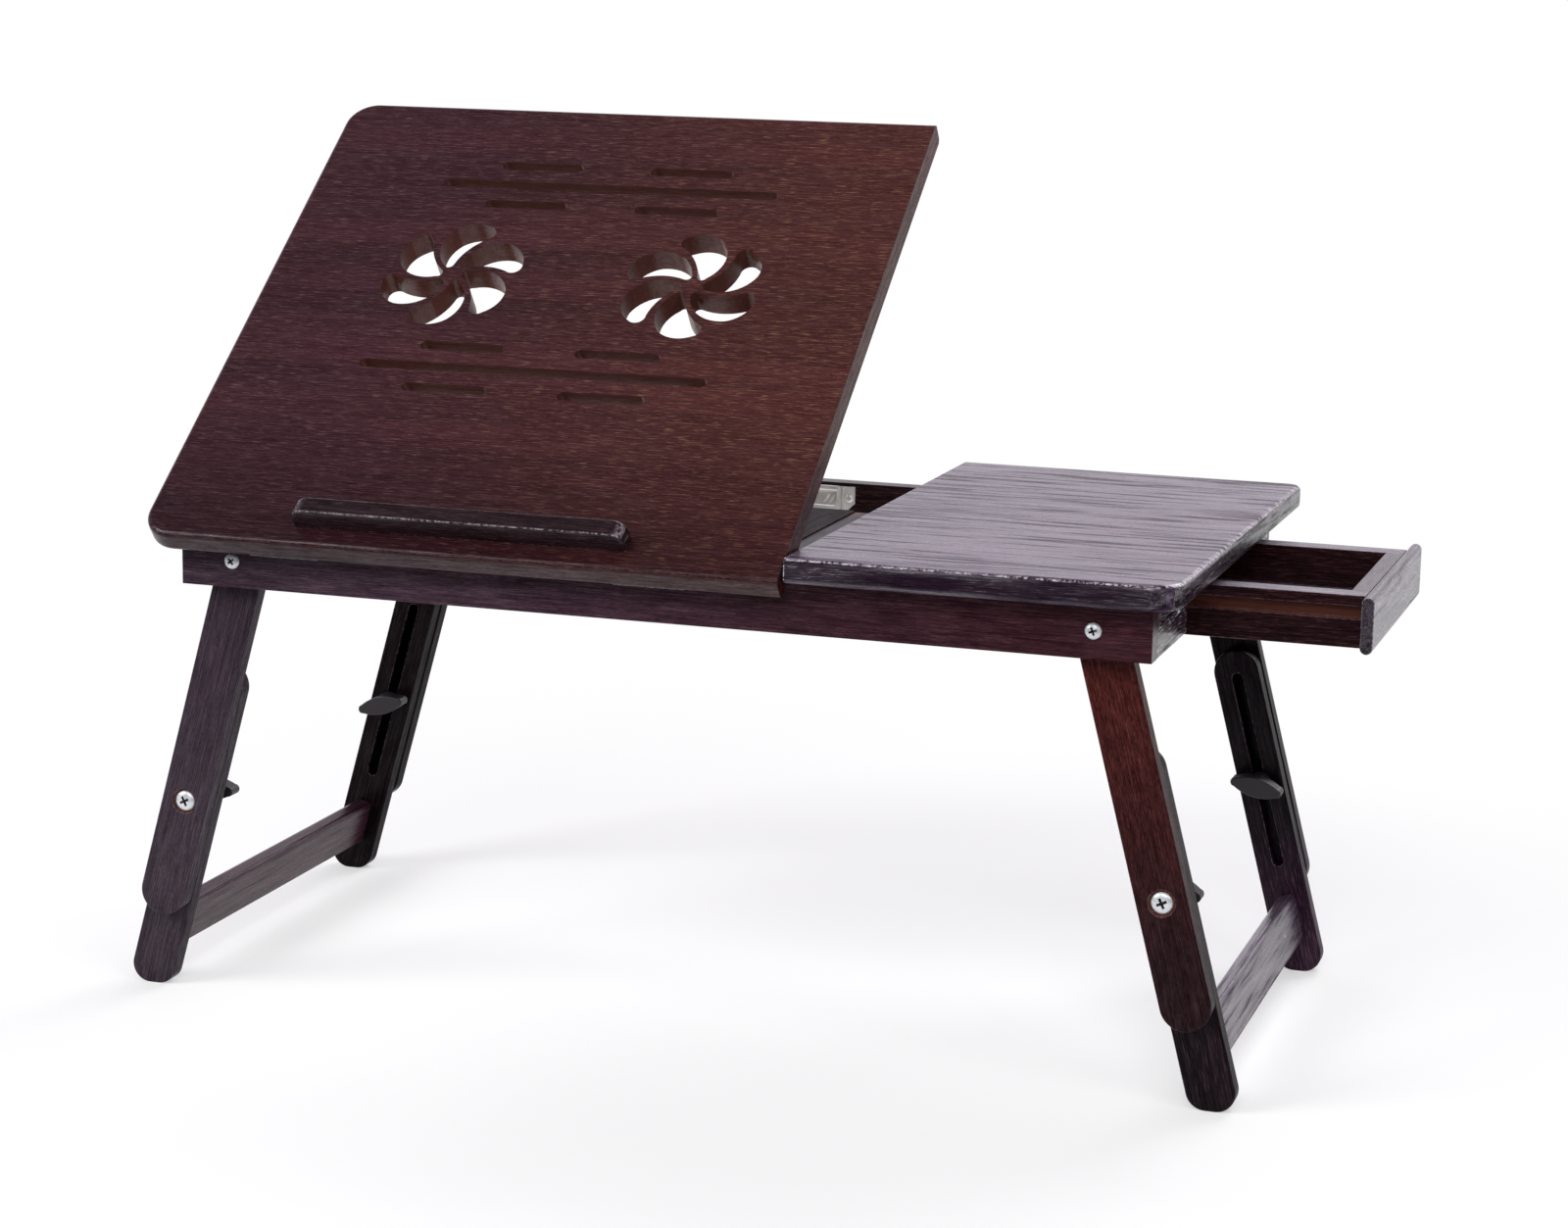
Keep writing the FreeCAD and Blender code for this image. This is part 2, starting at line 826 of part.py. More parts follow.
side_length = drawer_length
floor_y = drawer_side_thick - drawer_tongue
floor_low = drawer_floor_rise
for side, y in (("front", drawer_front_y), ("back", drawer_back_y - drawer_side_thick)):
    plank = box(f"drawer_plank_{side}", (side_length, drawer_side_thick, drawer_side_high))
    groove_y = ZERO if side == "front" else drawer_side_thick - groove_deep
    groove_z = drawer_side_high - groove_drop - groove_high
    floor_at = floor_y if side == "front" else ZERO
    tools = [
        box(f"drawer_groove_{side}", (side_length, groove_deep, groove_high), (ZERO, groove_y, groove_z)),
        box(
            f"drawer_slot_{side}",
            (side_length - drawer_wall_thick * 2 + drawer_tongue * 2, drawer_tongue, drawer_floor_thick),
            (drawer_wall_thick - drawer_tongue, floor_at, floor_low),
        ),
    ]
    node(
        cut(f"drawer_side_{side}_cut", plank, tools),
        f"drawer_side_{side}",
        (drawer_rear, y, drawer_top - drawer_side_high),
    )
inner_width = drawer_width - drawer_side_thick * 2
for wall, x, slot_x in (
    ("rear", drawer_rear, drawer_wall_thick - drawer_tongue),
    ("inner_front", drawer_mouth - drawer_wall_thick, ZERO),
):
    plank = box(f"drawer_{wall}_plank", (drawer_wall_thick, inner_width, drawer_side_high))
    slot = box(
        f"drawer_{wall}_slot", (drawer_tongue, inner_width, drawer_floor_thick), (slot_x, ZERO, floor_low)
    )
    place = (x, drawer_front_y + drawer_side_thick, drawer_top - drawer_side_high)
    node(cut(f"drawer_{wall}_cut", plank, [slot]), f"drawer_{wall}_wall", place)
node(
    box(
        "drawer_floor_panel",
        (
            drawer_length - drawer_wall_thick * 2 + drawer_tongue * 2,
            inner_width + drawer_tongue * 2,
            drawer_floor_thick,
        ),
    ),
    "drawer_floor",
    (
        drawer_rear + drawer_wall_thick - drawer_tongue,
        drawer_front_y + floor_y,
        drawer_top - drawer_side_high + floor_low,
    ),
)
face = body("drawer_face_board")
half_face = drawer_face_thick / 2
start = (ZERO, half_face)
steps = [
    [(half_face, ZERO), (drawer_face_thick, half_face)],
    [(drawer_face_thick, drawer_face_high - half_face)],
    [(half_face, drawer_face_high), (ZERO, drawer_face_high - half_face)],
    [start],
]
face_width = drawer_width + drawer_face_lip * 2
pad(face, outline(sketch_on(face, "XZ_Plane", "drawer_face_plan"), start, steps), face_width, True)
node(
    face,
    "drawer_face",
    (drawer_mouth, drawer_front_y - drawer_face_lip, drawer_top + drawer_face_rise - drawer_face_high),
)

# The tilting panel. Its own frame has the hinge axis along X through the origin, and it is
# built lying flat: the underside at z = 0 and the front edge at y = -axis_inset

# A comma-shaped blade, its knots as shares of the wheel's radius, drawn with the blade at a turn
# of BLADE_REST degrees. A step is an arc's middle and end.
BLADE_REST = 30
BLADE_START = (-0.158, 0.171)
BLADE = [
    ((-0.307, 0.503), (-0.163, 0.895)),
    ((0.088, 0.995), (0.339, 0.930)),
    ((0.427, 0.817), (0.342, 0.688)),
    ((0.131, 0.497), (-0.023, 0.176)),
    ((-0.090, 0.123), (-0.158, 0.171)),
]


def blade_point(share, mirror, turn):
    """A blade's point, from shares of the wheel's radius, turned about the wheel's middle."""
    x = share[0] * mirror
    c, s = cosine(turn), sine(turn)
    across = wheel_radius * x
    out = wheel_radius * share[1]
    return (across * c - out * s, across * s + out * c)


panel = board("panel", panel_length, top_depth, True, corner_round)
for side, mirror, x in (("left", 1, vent_middle - wheel_spread), ("right", -1, vent_middle + wheel_spread)):
    plan = sketch_on(panel, "XY_Plane", f"wheel_{side}", (x, wheel_up, ZERO))
    tilt = (wheel_turn - BLADE_REST) * mirror
    start = blade_point(BLADE_START, mirror, tilt)
    steps = [[blade_point(mid, mirror, tilt), blade_point(end, mirror, tilt)] for mid, end in BLADE]
    blade = pocket(panel, outline(plan, start, steps), None, True)
    wheel = panel.newObject("PartDesign::PolarPattern", f"wheel_{side}_blades")
    wheel.Originals = [blade]
    wheel.Axis = (plan, ["N_Axis"])
    wheel.Angle = 360
    wheel.Occurrences = 6
    panel.Tip = wheel
    doc.recompute()

plan = sketch_on(panel, "XY_Plane", "vent_slots")
for long_up in (upper_long_up, lower_long_up):
    half = long_vent / 2 - vent_width / 2
    start, steps = stadium(vent_middle - half, vent_middle + half, long_up, vent_width)
    outline(plan, start, steps)
    for offset in (-1, 1):
        for row in (-1, 1):
            half = short_vent / 2 - vent_width / 2
            at = vent_middle + short_vent_spread * offset
            start, steps = stadium(at - half, at + half, long_up + short_vent_step * row, vent_width)
            outline(plan, start, steps)
pocket(panel, plan, None, True)

barrel_clear = hinge_barrel_radius + face_gap * 2
hinge_places = (("left", hinge_inset), ("right", panel_length - hinge_inset - hinge_width))
recesses = []
for side, x in hinge_places:
    start_y = axis_inset - barrel_clear
    recesses.append(
        box(
            f"barrel_room_{side}",
            (hinge_width + face_gap * 2, barrel_clear * 2, barrel_clear),
            (x - face_gap, start_y, ZERO),
        )
    )
    recesses.append(
        box(f"leaf_room_{side}", (hinge_width, hinge_leaf_long, hinge_leaf_thick), (x, axis_inset, ZERO))
    )


def leaf_screw_spots(x):
    """Two screws on each leaf, a quarter of the leaf in from its ends."""
    return (("near", x + hinge_width / 4), ("far", x + hinge_width * 3 / 4))


leaf_screw_y = axis_inset + hinge_screw_along
for side, x in hinge_places:
    for spot, screw_x in leaf_screw_spots(x):
        recesses.append(
            rod(
                f"panel_hole_{side}_{spot}",
                hinge_screw_radius,
                hinge_screw_long,
                "Z",
                (screw_x, leaf_screw_y, ZERO),
            )
        )
holder = cut("panel_cut", panel, recesses)
TILTED = ((1, 0, 0), panel_tilt)
panel_y = hinge_y - axis_inset * cosine(panel_tilt)
panel_z = hinge_z - axis_inset * sine(panel_tilt)
node(holder, "reading_panel", (ZERO, panel_y, panel_z), *TILTED)

stop = body("stop_bar")
start, steps = corners(ZERO, stop_length, ZERO, stop_high)
pad(stop, outline(sketch_on(stop, "XZ_Plane", "stop_plan"), start, steps), stop_deep, True)
fillet(stop, "stop_ends", stop_end_round, lambda e: along(e, "y") and close(middle(e).z, stop_high))
fillet(
    stop,
    "stop_edges",
    stop_edge_round,
    lambda e: not along(e, "y") and middle(e).z > 0.01 and not close(middle(e).z, 0),
)
stop_turned = group("stop_turned", [stop])
put(stop, (stop_start, stop_up, board_thick))
node(stop_turned, "book_stop", (ZERO, panel_y, panel_z), *TILTED)

# The two butt hinges. The fixed leaves hang on the front rail's face, the moving ones lie let
# into the panel's underside, and each pin runs through three knuckles

knuckle = hinge_width / 3
knuckle_play = face_gap
moving_leaves = []
fixed_leaves = []
leaf_screws = []
rail_screws = []
pins = []
pin_bore = hinge_pin_radius + running_gap
for side, x in hinge_places:
    middle_x = x + knuckle + knuckle_play
    ring_long = knuckle - knuckle_play * 2
    ring_place = (middle_x, axis_inset, ZERO)
    ring = rod(f"moving_ring_{side}", hinge_barrel_radius, ring_long, "X", ring_place)
    plate = box(
        f"moving_plate_{side}",
        (knuckle - knuckle_play * 2, hinge_leaf_long, hinge_leaf_thick),
        (middle_x, axis_inset, ZERO),
    )
    wing_y = axis_inset + barrel_clear
    wing = box(
        f"moving_wing_{side}",
        (hinge_width, hinge_leaf_long - barrel_clear, hinge_leaf_thick),
        (x, wing_y, ZERO),
    )
    solid = fuse(f"moving_leaf_{side}_solid", [ring, plate, wing])
    tools = [rod(f"moving_bore_{side}", pin_bore, hinge_width, "X", (x, axis_inset, ZERO))]
    for spot, screw_x in leaf_screw_spots(x):
        spot_name = f"{side}_{spot}"
        tools.append(
            rod(
                f"moving_hole_{spot_name}",
                hinge_screw_radius,
                hinge_leaf_thick,
                "Z",
                (screw_x, leaf_screw_y, ZERO),
            )
        )
        leaf_screws.append(
            rod(
                f"leaf_screw_{spot_name}",
                hinge_screw_radius,
                hinge_screw_long,
                "Z",
                (screw_x, leaf_screw_y, ZERO),
            )
        )
    moving_leaves.append(cut(f"moving_leaf_{side}", solid, tools))

    rings = []
    for count, ring_x in enumerate((x, x + knuckle * 2)):
        rings.append(
            rod(f"fixed_ring_{side}_{count}", hinge_barrel_radius, knuckle, "X", (ring_x, hinge_y, hinge_z))
        )
        rings.append(
            box(
                f"fixed_tab_{side}_{count}",
                (knuckle, hinge_leaf_thick, hinge_leaf_deep),
                (ring_x, face_overhang - hinge_leaf_thick, hinge_z - hinge_leaf_deep),
            )
        )
    low_leaf = hinge_leaf_deep - barrel_clear
    rings.append(
        box(
            f"fixed_plate_{side}",
            (hinge_width, hinge_leaf_thick, low_leaf),
            (x, face_overhang - hinge_leaf_thick, hinge_z - hinge_leaf_deep),
        )
    )
    solid = fuse(f"fixed_leaf_{side}_solid", rings)
    bore = rod(f"fixed_bore_{side}", pin_bore, hinge_width, "X", (x, hinge_y, hinge_z))
    fixed_leaves.append(cut(f"fixed_leaf_{side}", solid, [bore]))
    pins.append(rod(f"hinge_pin_{side}", hinge_pin_radius, hinge_width, "X", (x, hinge_y, hinge_z)))
    for spot, screw_x in leaf_screw_spots(x):
        head_z = hinge_z - hinge_leaf_deep + low_leaf / 2
        head_y = face_overhang - hinge_leaf_thick * 2
        rail_screws.append(
            rod(
                f"rail_screw_{side}_{spot}",
                hinge_head_radius,
                hinge_leaf_thick,
                "Y",
                (screw_x, head_y, head_z),
            )
        )
node(group("moving_leaves", moving_leaves), "panel_hinge_leaves", (ZERO, panel_y, panel_z), *TILTED)
node(group("leaf_screws", leaf_screws), "panel_leaf_screws", (ZERO, panel_y, panel_z), *TILTED)
node(group("fixed_leaves", fixed_leaves), "rail_hinge_leaves")
node(group("rail_screws", rail_screws), "rail_leaf_screws")
node(group("hinge_pins_pair", pins), "panel_hinge_pins")

# The prop: two arms and a rod, hung on brackets under the panel. Its arms are as long as the
# way from the panel's axis to their pivot, so its foot stays level as the panel tilts

prop_pivot_y = hinge_y + prop_reach * cosine(panel_tilt) + prop_drop * sine(panel_tilt)
prop_pivot_z = hinge_z + prop_reach * sine(panel_tilt) - prop_drop * cosine(panel_tilt)
arm_left = rail_left + rail_thick + prop_inset
arm_right = ledge_left - prop_inset - prop_width
PROPPED = ((1, 0, 0), -panel_tilt)
for side, x in (("left", arm_left), ("right", arm_right)):
    half = prop_thick / 2
    beam = box(f"prop_beam_{side}", (prop_width, prop_reach, prop_thick), (ZERO, ZERO, -half))
    near = rod(f"prop_near_{side}", half, prop_width, "X")
    far = rod(f"prop_far_{side}", half, prop_width, "X", (ZERO, prop_reach, ZERO))
    solid = fuse(f"prop_arm_{side}_solid", [beam, near, far])
    tools = [
        rod(f"prop_bore_{side}", prop_rod_radius + running_gap, prop_width, "X"),
        rod(f"prop_rod_bore_{side}", prop_rod_radius, prop_width, "X", (ZERO, prop_reach, ZERO)),
    ]
    node(
        cut(f"prop_arm_{side}_cut", solid, tools),
        f"prop_arm_{side}",
        (x, prop_pivot_y, prop_pivot_z),
        *PROPPED,
    )
rod_start = arm_left - prop_rod_over
rod_long = arm_right - arm_left + prop_width + prop_rod_over * 2
crossbar = group(
    "prop_crossbar", [rod("prop_crossbar_rod", prop_rod_radius, rod_long, "X", (ZERO, prop_reach, ZERO))]
)
node(crossbar, "prop_rod", (rod_start, prop_pivot_y, prop_pivot_z), *PROPPED)
brackets = []
prop_pins = []
pivot_along = axis_inset + prop_reach
for side, bracket_x, pin_x in (
    ("left", arm_left + prop_width + face_gap, arm_left),
    ("right", arm_right - face_gap - prop_bracket_wide, arm_right - face_gap - prop_bracket_wide),
):
    drop = prop_drop + prop_thick / 2
    block = box(
        f"bracket_block_{side}",
        (prop_bracket_wide, prop_bracket_long, drop),
        (bracket_x, pivot_along - prop_bracket_long / 2, -drop),
    )
    hole = rod(
        f"bracket_hole_{side}", prop_rod_radius, prop_bracket_wide, "X", (bracket_x, pivot_along, -prop_drop)
    )
    brackets.append(cut(f"bracket_{side}", block, [hole]))
    pin_long = prop_width + face_gap + prop_bracket_wide
    pin_place = (pin_x, pivot_along, -prop_drop)
    prop_pins.append(rod(f"prop_pin_{side}", prop_rod_radius, pin_long, "X", pin_place))
node(group("brackets", brackets), "prop_brackets", (ZERO, panel_y, panel_z), *TILTED)
node(group("prop_pins_pair", prop_pins), "prop_pivot_pins", (ZERO, panel_y, panel_z), *TILTED)

# The catch in the gap: a bent sheet base with an ear and its screw on the back rail's inner
# face, a sprung flap on a barrel, and the striker under the panel

catch_top = rail_top - catch_drop
catch_low = catch_top - catch_high
catch_front = back_in - catch_deep
catch_left = catch_start - catch_sheet - face_gap
catch_right = catch_start + catch_length
catch_back_y = back_in - catch_sheet
catch_long = catch_right - catch_left
pieces = [
    box("catch_back", (catch_long, catch_sheet, catch_high), (catch_left, catch_back_y, catch_low)),
    box("catch_flange_left", (catch_sheet, catch_deep, catch_high), (catch_left, catch_front, catch_low)),
    box(
        "catch_flange_near",
        (catch_sheet, catch_deep, catch_high),
        (catch_start + catch_flange_room, catch_front, catch_low),
    ),
    box(
        "catch_flange_far",
        (catch_sheet, catch_far_deep, catch_high),
        (catch_right - catch_sheet, back_in - catch_far_deep, catch_low),
    ),
]
ear = box("catch_ear_plate", (catch_ear, catch_sheet, catch_high), (catch_right, catch_back_y, catch_low))
ear_corner = box("catch_ear_corner", (catch_ear, catch_sheet, catch_ear))
put(ear_corner, (catch_right + catch_corner, catch_back_y, catch_low), (0, 1, 0), 45)
catch_solid = fuse("catch_base_solid", pieces + [cut("catch_ear_cut", ear, [ear_corner])])
flap_y = back_in - catch_pin_inset
flap_z = catch_top - catch_pin_drop
flap_long = catch_flange_room - face_gap * 2
pin_long = catch_flange_room + catch_sheet * 2 + face_gap
pin_place = (catch_left, flap_y, flap_z)
screw_place = (catch_screw_x, catch_back_y, catch_screw_z)
holes = [
    rod("catch_pin_holes", catch_pin_radius, pin_long, "X", pin_place),
    rod("catch_screw_hole", catch_screw_radius, catch_sheet, "Y", screw_place),
]
node(cut("catch_base_cut", catch_solid, holes), "catch_base")
catch_rod = rod("catch_pin_rod", catch_pin_radius, pin_long, "X", pin_place)
node(group("catch_pin_group", [catch_rod]), "catch_pin")
shank_long = catch_sheet + catch_screw_long
catch_screw = screw(
    "catch_screw_solid",
    catch_screw_radius,
    catch_head_radius,
    catch_head_high,
    shank_long,
    screw_place,
    False,
)
node(group("catch_screw_group", [catch_screw]), "catch_screw")

barrel = rod("flap_barrel", catch_barrel_radius, flap_long, "X")
leaf_y = catch_barrel_radius - catch_sheet
leaf = box("flap_leaf", (flap_long, catch_sheet, flap_high), (ZERO, leaf_y, -flap_high))
windows = []
for count in range(2):
    window = box(f"flap_window_{count}", (flap_window_wide, catch_sheet, flap_window_high))
    window_x = flap_window_start + flap_window_step * count
    window_place = (window_x, leaf_y, -flap_window_drop - flap_window_high)
    put(window, window_place, (0, 1, 0), flap_window_lean)
    windows.append(window)
flap_solid = fuse("flap_solid", [barrel, cut("flap_leaf_cut", leaf, windows)])
flap_bore = rod("flap_bore", catch_pin_radius + running_gap, flap_long, "X")
flap = cut("flap_bored", flap_solid, [flap_bore])
node(flap, "catch_flap", (catch_start + face_gap, flap_y, flap_z), (1, 0, 0), -flap_lean)
tab = box(
    "striker_tab",
    (striker_long, catch_sheet, catch_drop + catch_sheet),
    (catch_start + striker_inset, catch_front + face_gap - hinge_y + axis_inset, -catch_drop - catch_sheet),
)
node(group("striker_plate", [tab]), "catch_striker", (ZERO, panel_y, panel_z), *TILTED)

doc.recompute()

failed = [t for t in doc.Objects if "Invalid" in t.State or "Error" in t.State]
if failed:
    raise RuntimeError("did not build: " + ", ".join(f"{t.Name} ({t.Label})" for t in failed))
for thing in nodes:
    shape = thing.Shape
    if shape.isNull() or not shape.isValid():
        raise RuntimeError(f"{thing.Label} has no valid shape")
    shape.exportStep(f"parts/{thing.Label}.step")
    print(thing.Label, len(shape.Solids), round(shape.Volume, 1))
print(len(nodes), "pieces")
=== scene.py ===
# %% [markdown]
# # A folding lap desk in stained bamboo
# The desk is a tilting reading panel, a fixed tray, a frame of rails, a drawer and two pairs of
# telescoping legs. The solids come from CAD and are already the right size and in the right
# place. Blender's job here is what the hand and the eye notice: softened arrises, the grain and
# the stain of the bamboo, the sheen of its lacquer, and the small steel fastenings.

# %% Load the fixed frame
import json
import math

import bmesh
import bpy
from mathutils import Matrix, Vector

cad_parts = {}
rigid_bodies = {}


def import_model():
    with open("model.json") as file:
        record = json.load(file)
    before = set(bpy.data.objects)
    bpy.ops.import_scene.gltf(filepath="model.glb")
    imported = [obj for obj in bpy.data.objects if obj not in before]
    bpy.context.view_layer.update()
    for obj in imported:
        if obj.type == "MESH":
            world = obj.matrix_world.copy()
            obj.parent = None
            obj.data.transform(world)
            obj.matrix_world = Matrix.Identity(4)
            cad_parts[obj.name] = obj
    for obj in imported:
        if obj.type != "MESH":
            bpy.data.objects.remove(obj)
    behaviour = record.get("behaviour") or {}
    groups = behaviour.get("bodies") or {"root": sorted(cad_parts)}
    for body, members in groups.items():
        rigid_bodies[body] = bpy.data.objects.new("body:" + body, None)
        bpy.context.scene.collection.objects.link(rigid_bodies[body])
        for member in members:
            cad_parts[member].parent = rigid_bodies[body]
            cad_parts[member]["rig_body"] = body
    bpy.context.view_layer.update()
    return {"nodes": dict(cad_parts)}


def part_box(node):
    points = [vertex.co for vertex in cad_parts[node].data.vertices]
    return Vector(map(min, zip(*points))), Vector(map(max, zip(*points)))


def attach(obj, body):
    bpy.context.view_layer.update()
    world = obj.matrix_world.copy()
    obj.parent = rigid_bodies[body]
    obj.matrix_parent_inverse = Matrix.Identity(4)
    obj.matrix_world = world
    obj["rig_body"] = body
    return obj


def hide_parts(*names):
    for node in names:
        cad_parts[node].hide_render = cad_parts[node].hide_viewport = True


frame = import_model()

parts = frame["nodes"]

# %% [markdown]
# ## Camera
# The photograph looks slightly down from the front, a little to the right of the desk. A long
# lens far away keeps the edges nearly parallel, so the camera is given by its place, the way it
# looks and its focal length, instead of being aimed by eye.

# %% Camera at the photograph's viewing angle
camera_data = bpy.data.cameras.new("camera")
camera_data.lens = 79.59
camera_data.sensor_width = 36.0
camera_data.sensor_fit = "HORIZONTAL"
camera = bpy.data.objects.new("camera", camera_data)
bpy.context.scene.collection.objects.link(camera)
look = Vector((-0.30193, 0.93312, -0.19524)).normalized()
right = Vector((0.95014, 0.31128, 0.01835))
right = (right - look * right.dot(look)).normalized()
up = right.cross(look)
turn = camera.matrix_world.to_3x3()
for row in range(3):
    turn[row][0], turn[row][1], turn[row][2] = right[row], up[row], -look[row]
camera.matrix_world = turn.to_4x4()
camera.location = (0.56743, -1.75162, 0.57292)
bpy.context.scene.camera = camera
bpy.context.scene.view_settings.view_transform = "Standard"
print("camera at", [round(v, 3) for v in camera.location], "lens", camera_data.lens)

# %% [markdown]
# ## A small vocabulary for node trees
# Every material and every Geometry Nodes tree below is built in code. Four helpers keep that
# readable: one adds a node and fills its inputs, one turns a colour on screen into a linear one,
# one opens a node group with named sockets, and one does sums.

# %% Helpers for node trees
def add(tree, kind, values=None, **settings):
    """A node of a kind, with its settings, and inputs given as numbers or as other sockets."""
    made = tree.nodes.new(kind)
    for name, value in settings.items():
        setattr(made, name, value)
    for key, value in (values or {}).items():
        socket = made.inputs[key]
        if isinstance(value, bpy.types.NodeSocket):
            tree.links.new(value, socket)
        else:
            socket.default_value = value
    return made


def rgb(red, green, blue):
    """A colour picked on screen from 0 to 255, as the linear colour a shader takes."""
    linear = []
    for value in (red, green, blue):
        share = value / 255
        linear.append(share / 12.92 if share <= 0.04045 else ((share + 0.055) / 1.055) ** 2.4)
    return (*linear, 1.0)


def group_with(name, kind, inputs, outputs):
    """An empty node group with named sockets."""
    tree = bpy.data.node_groups.new(name, kind)
    for label, socket_type, value in inputs:
        socket = tree.interface.new_socket(label, in_out="INPUT", socket_type=socket_type)
        if value is not None:
            socket.default_value = value
    for label, socket_type in outputs:
        tree.interface.new_socket(label, in_out="OUTPUT", socket_type=socket_type)
    return tree, tree.nodes.new("NodeGroupInput").outputs, tree.nodes.new("NodeGroupOutput").inputs


def math_of(tree, operation, first, second=0.0, third=None):
    """A sum of two or three values, each a number or a socket."""
    values = {0: first, 1: second}
    if third is not None:
        values[2] = third
    return add(tree, "ShaderNodeMath", values, operation=operation).outputs[0]


print("helpers ready")

# %% [markdown]
# ## Bamboo grain
# A bamboo board is glued from narrow strips. Each strip has its own tone, fine fibres that run
# its whole length, and short pale pores that the dark stain doesn't fill. One shader group makes
# all of it from object coordinates turned so that the grain runs along X, so that rails, tray and
# legs can share it and only change their tones. Stretched noise is the cheapest honest fibre:
# one noise at five scales, each far finer across the grain than along it, from broad clouds of
# stain to fibres two thousand to the metre. The streaks also change how much the lacquer shines,
# because on a board seen at a flat angle the shine is most of what shows.

# %% Shader group: bamboo grain
grain, gin, gout = group_with(
    "bamboo_grain",
    "ShaderNodeTree",
    [
        ("Vector", "NodeSocketVector", None),
        ("Deep tone", "NodeSocketColor", (0.01, 0.005, 0.006, 1)),
        ("Warm tone", "NodeSocketColor", (0.04, 0.02, 0.02, 1)),
        ("Pore tone", "NodeSocketColor", (0.2, 0.15, 0.13, 1)),
        ("Strip width", "NodeSocketFloat", 0.019),
        ("Strip contrast", "NodeSocketFloat", 0.2),
        ("Fibre contrast", "NodeSocketFloat", 0.4),
        ("Fleck contrast", "NodeSocketFloat", 0.4),
        ("Streak contrast", "NodeSocketFloat", 0.2),
        ("Gloss streaks", "NodeSocketFloat", 0.4),
        ("Streaks per metre along", "NodeSocketFloat", 45.0),
        ("Streaks per metre across", "NodeSocketFloat", 300.0),
        ("Pore amount", "NodeSocketFloat", 0.5),
        ("Roughness", "NodeSocketFloat", 0.4),
        ("Seed", "NodeSocketFloat", 0.0),
    ],
    [
        ("Color", "NodeSocketColor"),
        ("Roughness", "NodeSocketFloat"),
        ("Gloss", "NodeSocketFloat"),
        ("Height", "NodeSocketFloat"),
    ],
)
place = add(grain, "ShaderNodeSeparateXYZ", {0: gin["Vector"]}).outputs
strip = math_of(grain, "FLOOR", math_of(grain, "DIVIDE", place[1], gin["Strip width"]))
strip_seed = math_of(grain, "ADD", strip, math_of(grain, "MULTIPLY", gin["Seed"], 17.31))
strip_tone = add(grain, "ShaderNodeTexWhiteNoise", {"W": strip_seed}, noise_dimensions="1D").outputs["Value"]
along = math_of(grain, "ADD", place[0], math_of(grain, "MULTIPLY", strip_tone, 3.7))


def stretched(length_scale, width_scale, detail, seed):
    """Noise drawn out along the grain."""
    vector = add(
        grain,
        "ShaderNodeCombineXYZ",
        {
            0: math_of(grain, "MULTIPLY", along, length_scale),
            1: math_of(grain, "MULTIPLY", place[1], width_scale),
            2: math_of(grain, "MULTIPLY_ADD", place[2], width_scale, seed),
        },
    )
    made = add(grain, "ShaderNodeTexNoise", {"Vector": vector.outputs[0], "Scale": 1.0, "Detail": detail})
    return made.outputs["Fac"]


def around_one(value, contrast, strength):
    """A factor that swings around one as a noise value swings around a half."""
    swing = math_of(grain, "MULTIPLY", math_of(grain, "SUBTRACT", value, 0.5), strength)
    return math_of(grain, "MULTIPLY_ADD", swing, contrast, 1.0)


cloud = stretched(4.0, 22.0, 3.0, 1.3)
fibre = stretched(26.0, 2100.0, 3.0, 5.9)
fleck = stretched(420.0, 2300.0, 2.0, 3.3)
streak = stretched(gin["Streaks per metre along"], gin["Streaks per metre across"], 3.0, 7.7)
pores = stretched(120.0, 1700.0, 2.0, 9.1)
pore_mask = add(
    grain,
    "ShaderNodeMapRange",
    {"Value": pores, "From Min": 0.56, "From Max": 0.7},
    interpolation_type="SMOOTHSTEP",
).outputs[0]
cloud_share = add(grain, "ShaderNodeMapRange", {"Value": cloud, "From Min": 0.3, "From Max": 0.7}).outputs[0]
body_tone = add(
    grain, "ShaderNodeMix", {0: cloud_share, 6: gin["Deep tone"], 7: gin["Warm tone"]}, data_type="RGBA"
).outputs[2]
fibre_lift = around_one(fibre, gin["Fibre contrast"], 4.0)
fleck_lift = around_one(fleck, gin["Fleck contrast"], 4.0)
strip_lift = around_one(strip_tone, gin["Strip contrast"], 1.0)
streak_lift = around_one(streak, gin["Streak contrast"], 5.0)
lift = math_of(grain, "MULTIPLY", math_of(grain, "MULTIPLY", fibre_lift, fleck_lift), strip_lift)
lift = math_of(grain, "MULTIPLY", lift, streak_lift)
lift = math_of(grain, "MAXIMUM", lift, 0.12)
shaded = add(grain, "ShaderNodeVectorMath", {0: body_tone, "Scale": lift}, operation="SCALE").outputs[0]
with_pores = add(
    grain,
    "ShaderNodeMix",
    {0: math_of(grain, "MULTIPLY", pore_mask, gin["Pore amount"]), 6: shaded, 7: gin["Pore tone"]},
    data_type="RGBA",
).outputs[2]
grain.links.new(with_pores, gout["Color"])
rough = math_of(
    grain, "MULTIPLY_ADD", math_of(grain, "SUBTRACT", fibre, 0.5), 0.35, gin["Roughness"]
)
grain.links.new(rough, gout["Roughness"])
gloss = math_of(grain, "MULTIPLY", around_one(fibre, 1.0, 2.6), around_one(fleck, 1.0, 1.6))
shiny_streak = math_of(grain, "MAXIMUM", around_one(streak, gin["Gloss streaks"], 5.0), 0.06)
gloss = math_of(grain, "MULTIPLY", math_of(grain, "MAXIMUM", gloss, 0.15), shiny_streak)
grain.links.new(math_of(grain, "MINIMUM", gloss, 2.2), gout["Gloss"])
relief = math_of(grain, "MULTIPLY_ADD", pore_mask, -0.7, fibre)
waves = math_of(grain, "MULTIPLY", streak, math_of(grain, "MULTIPLY", gin["Streak contrast"], 8.0))
grain.links.new(math_of(grain, "ADD", relief, waves), gout["Height"])
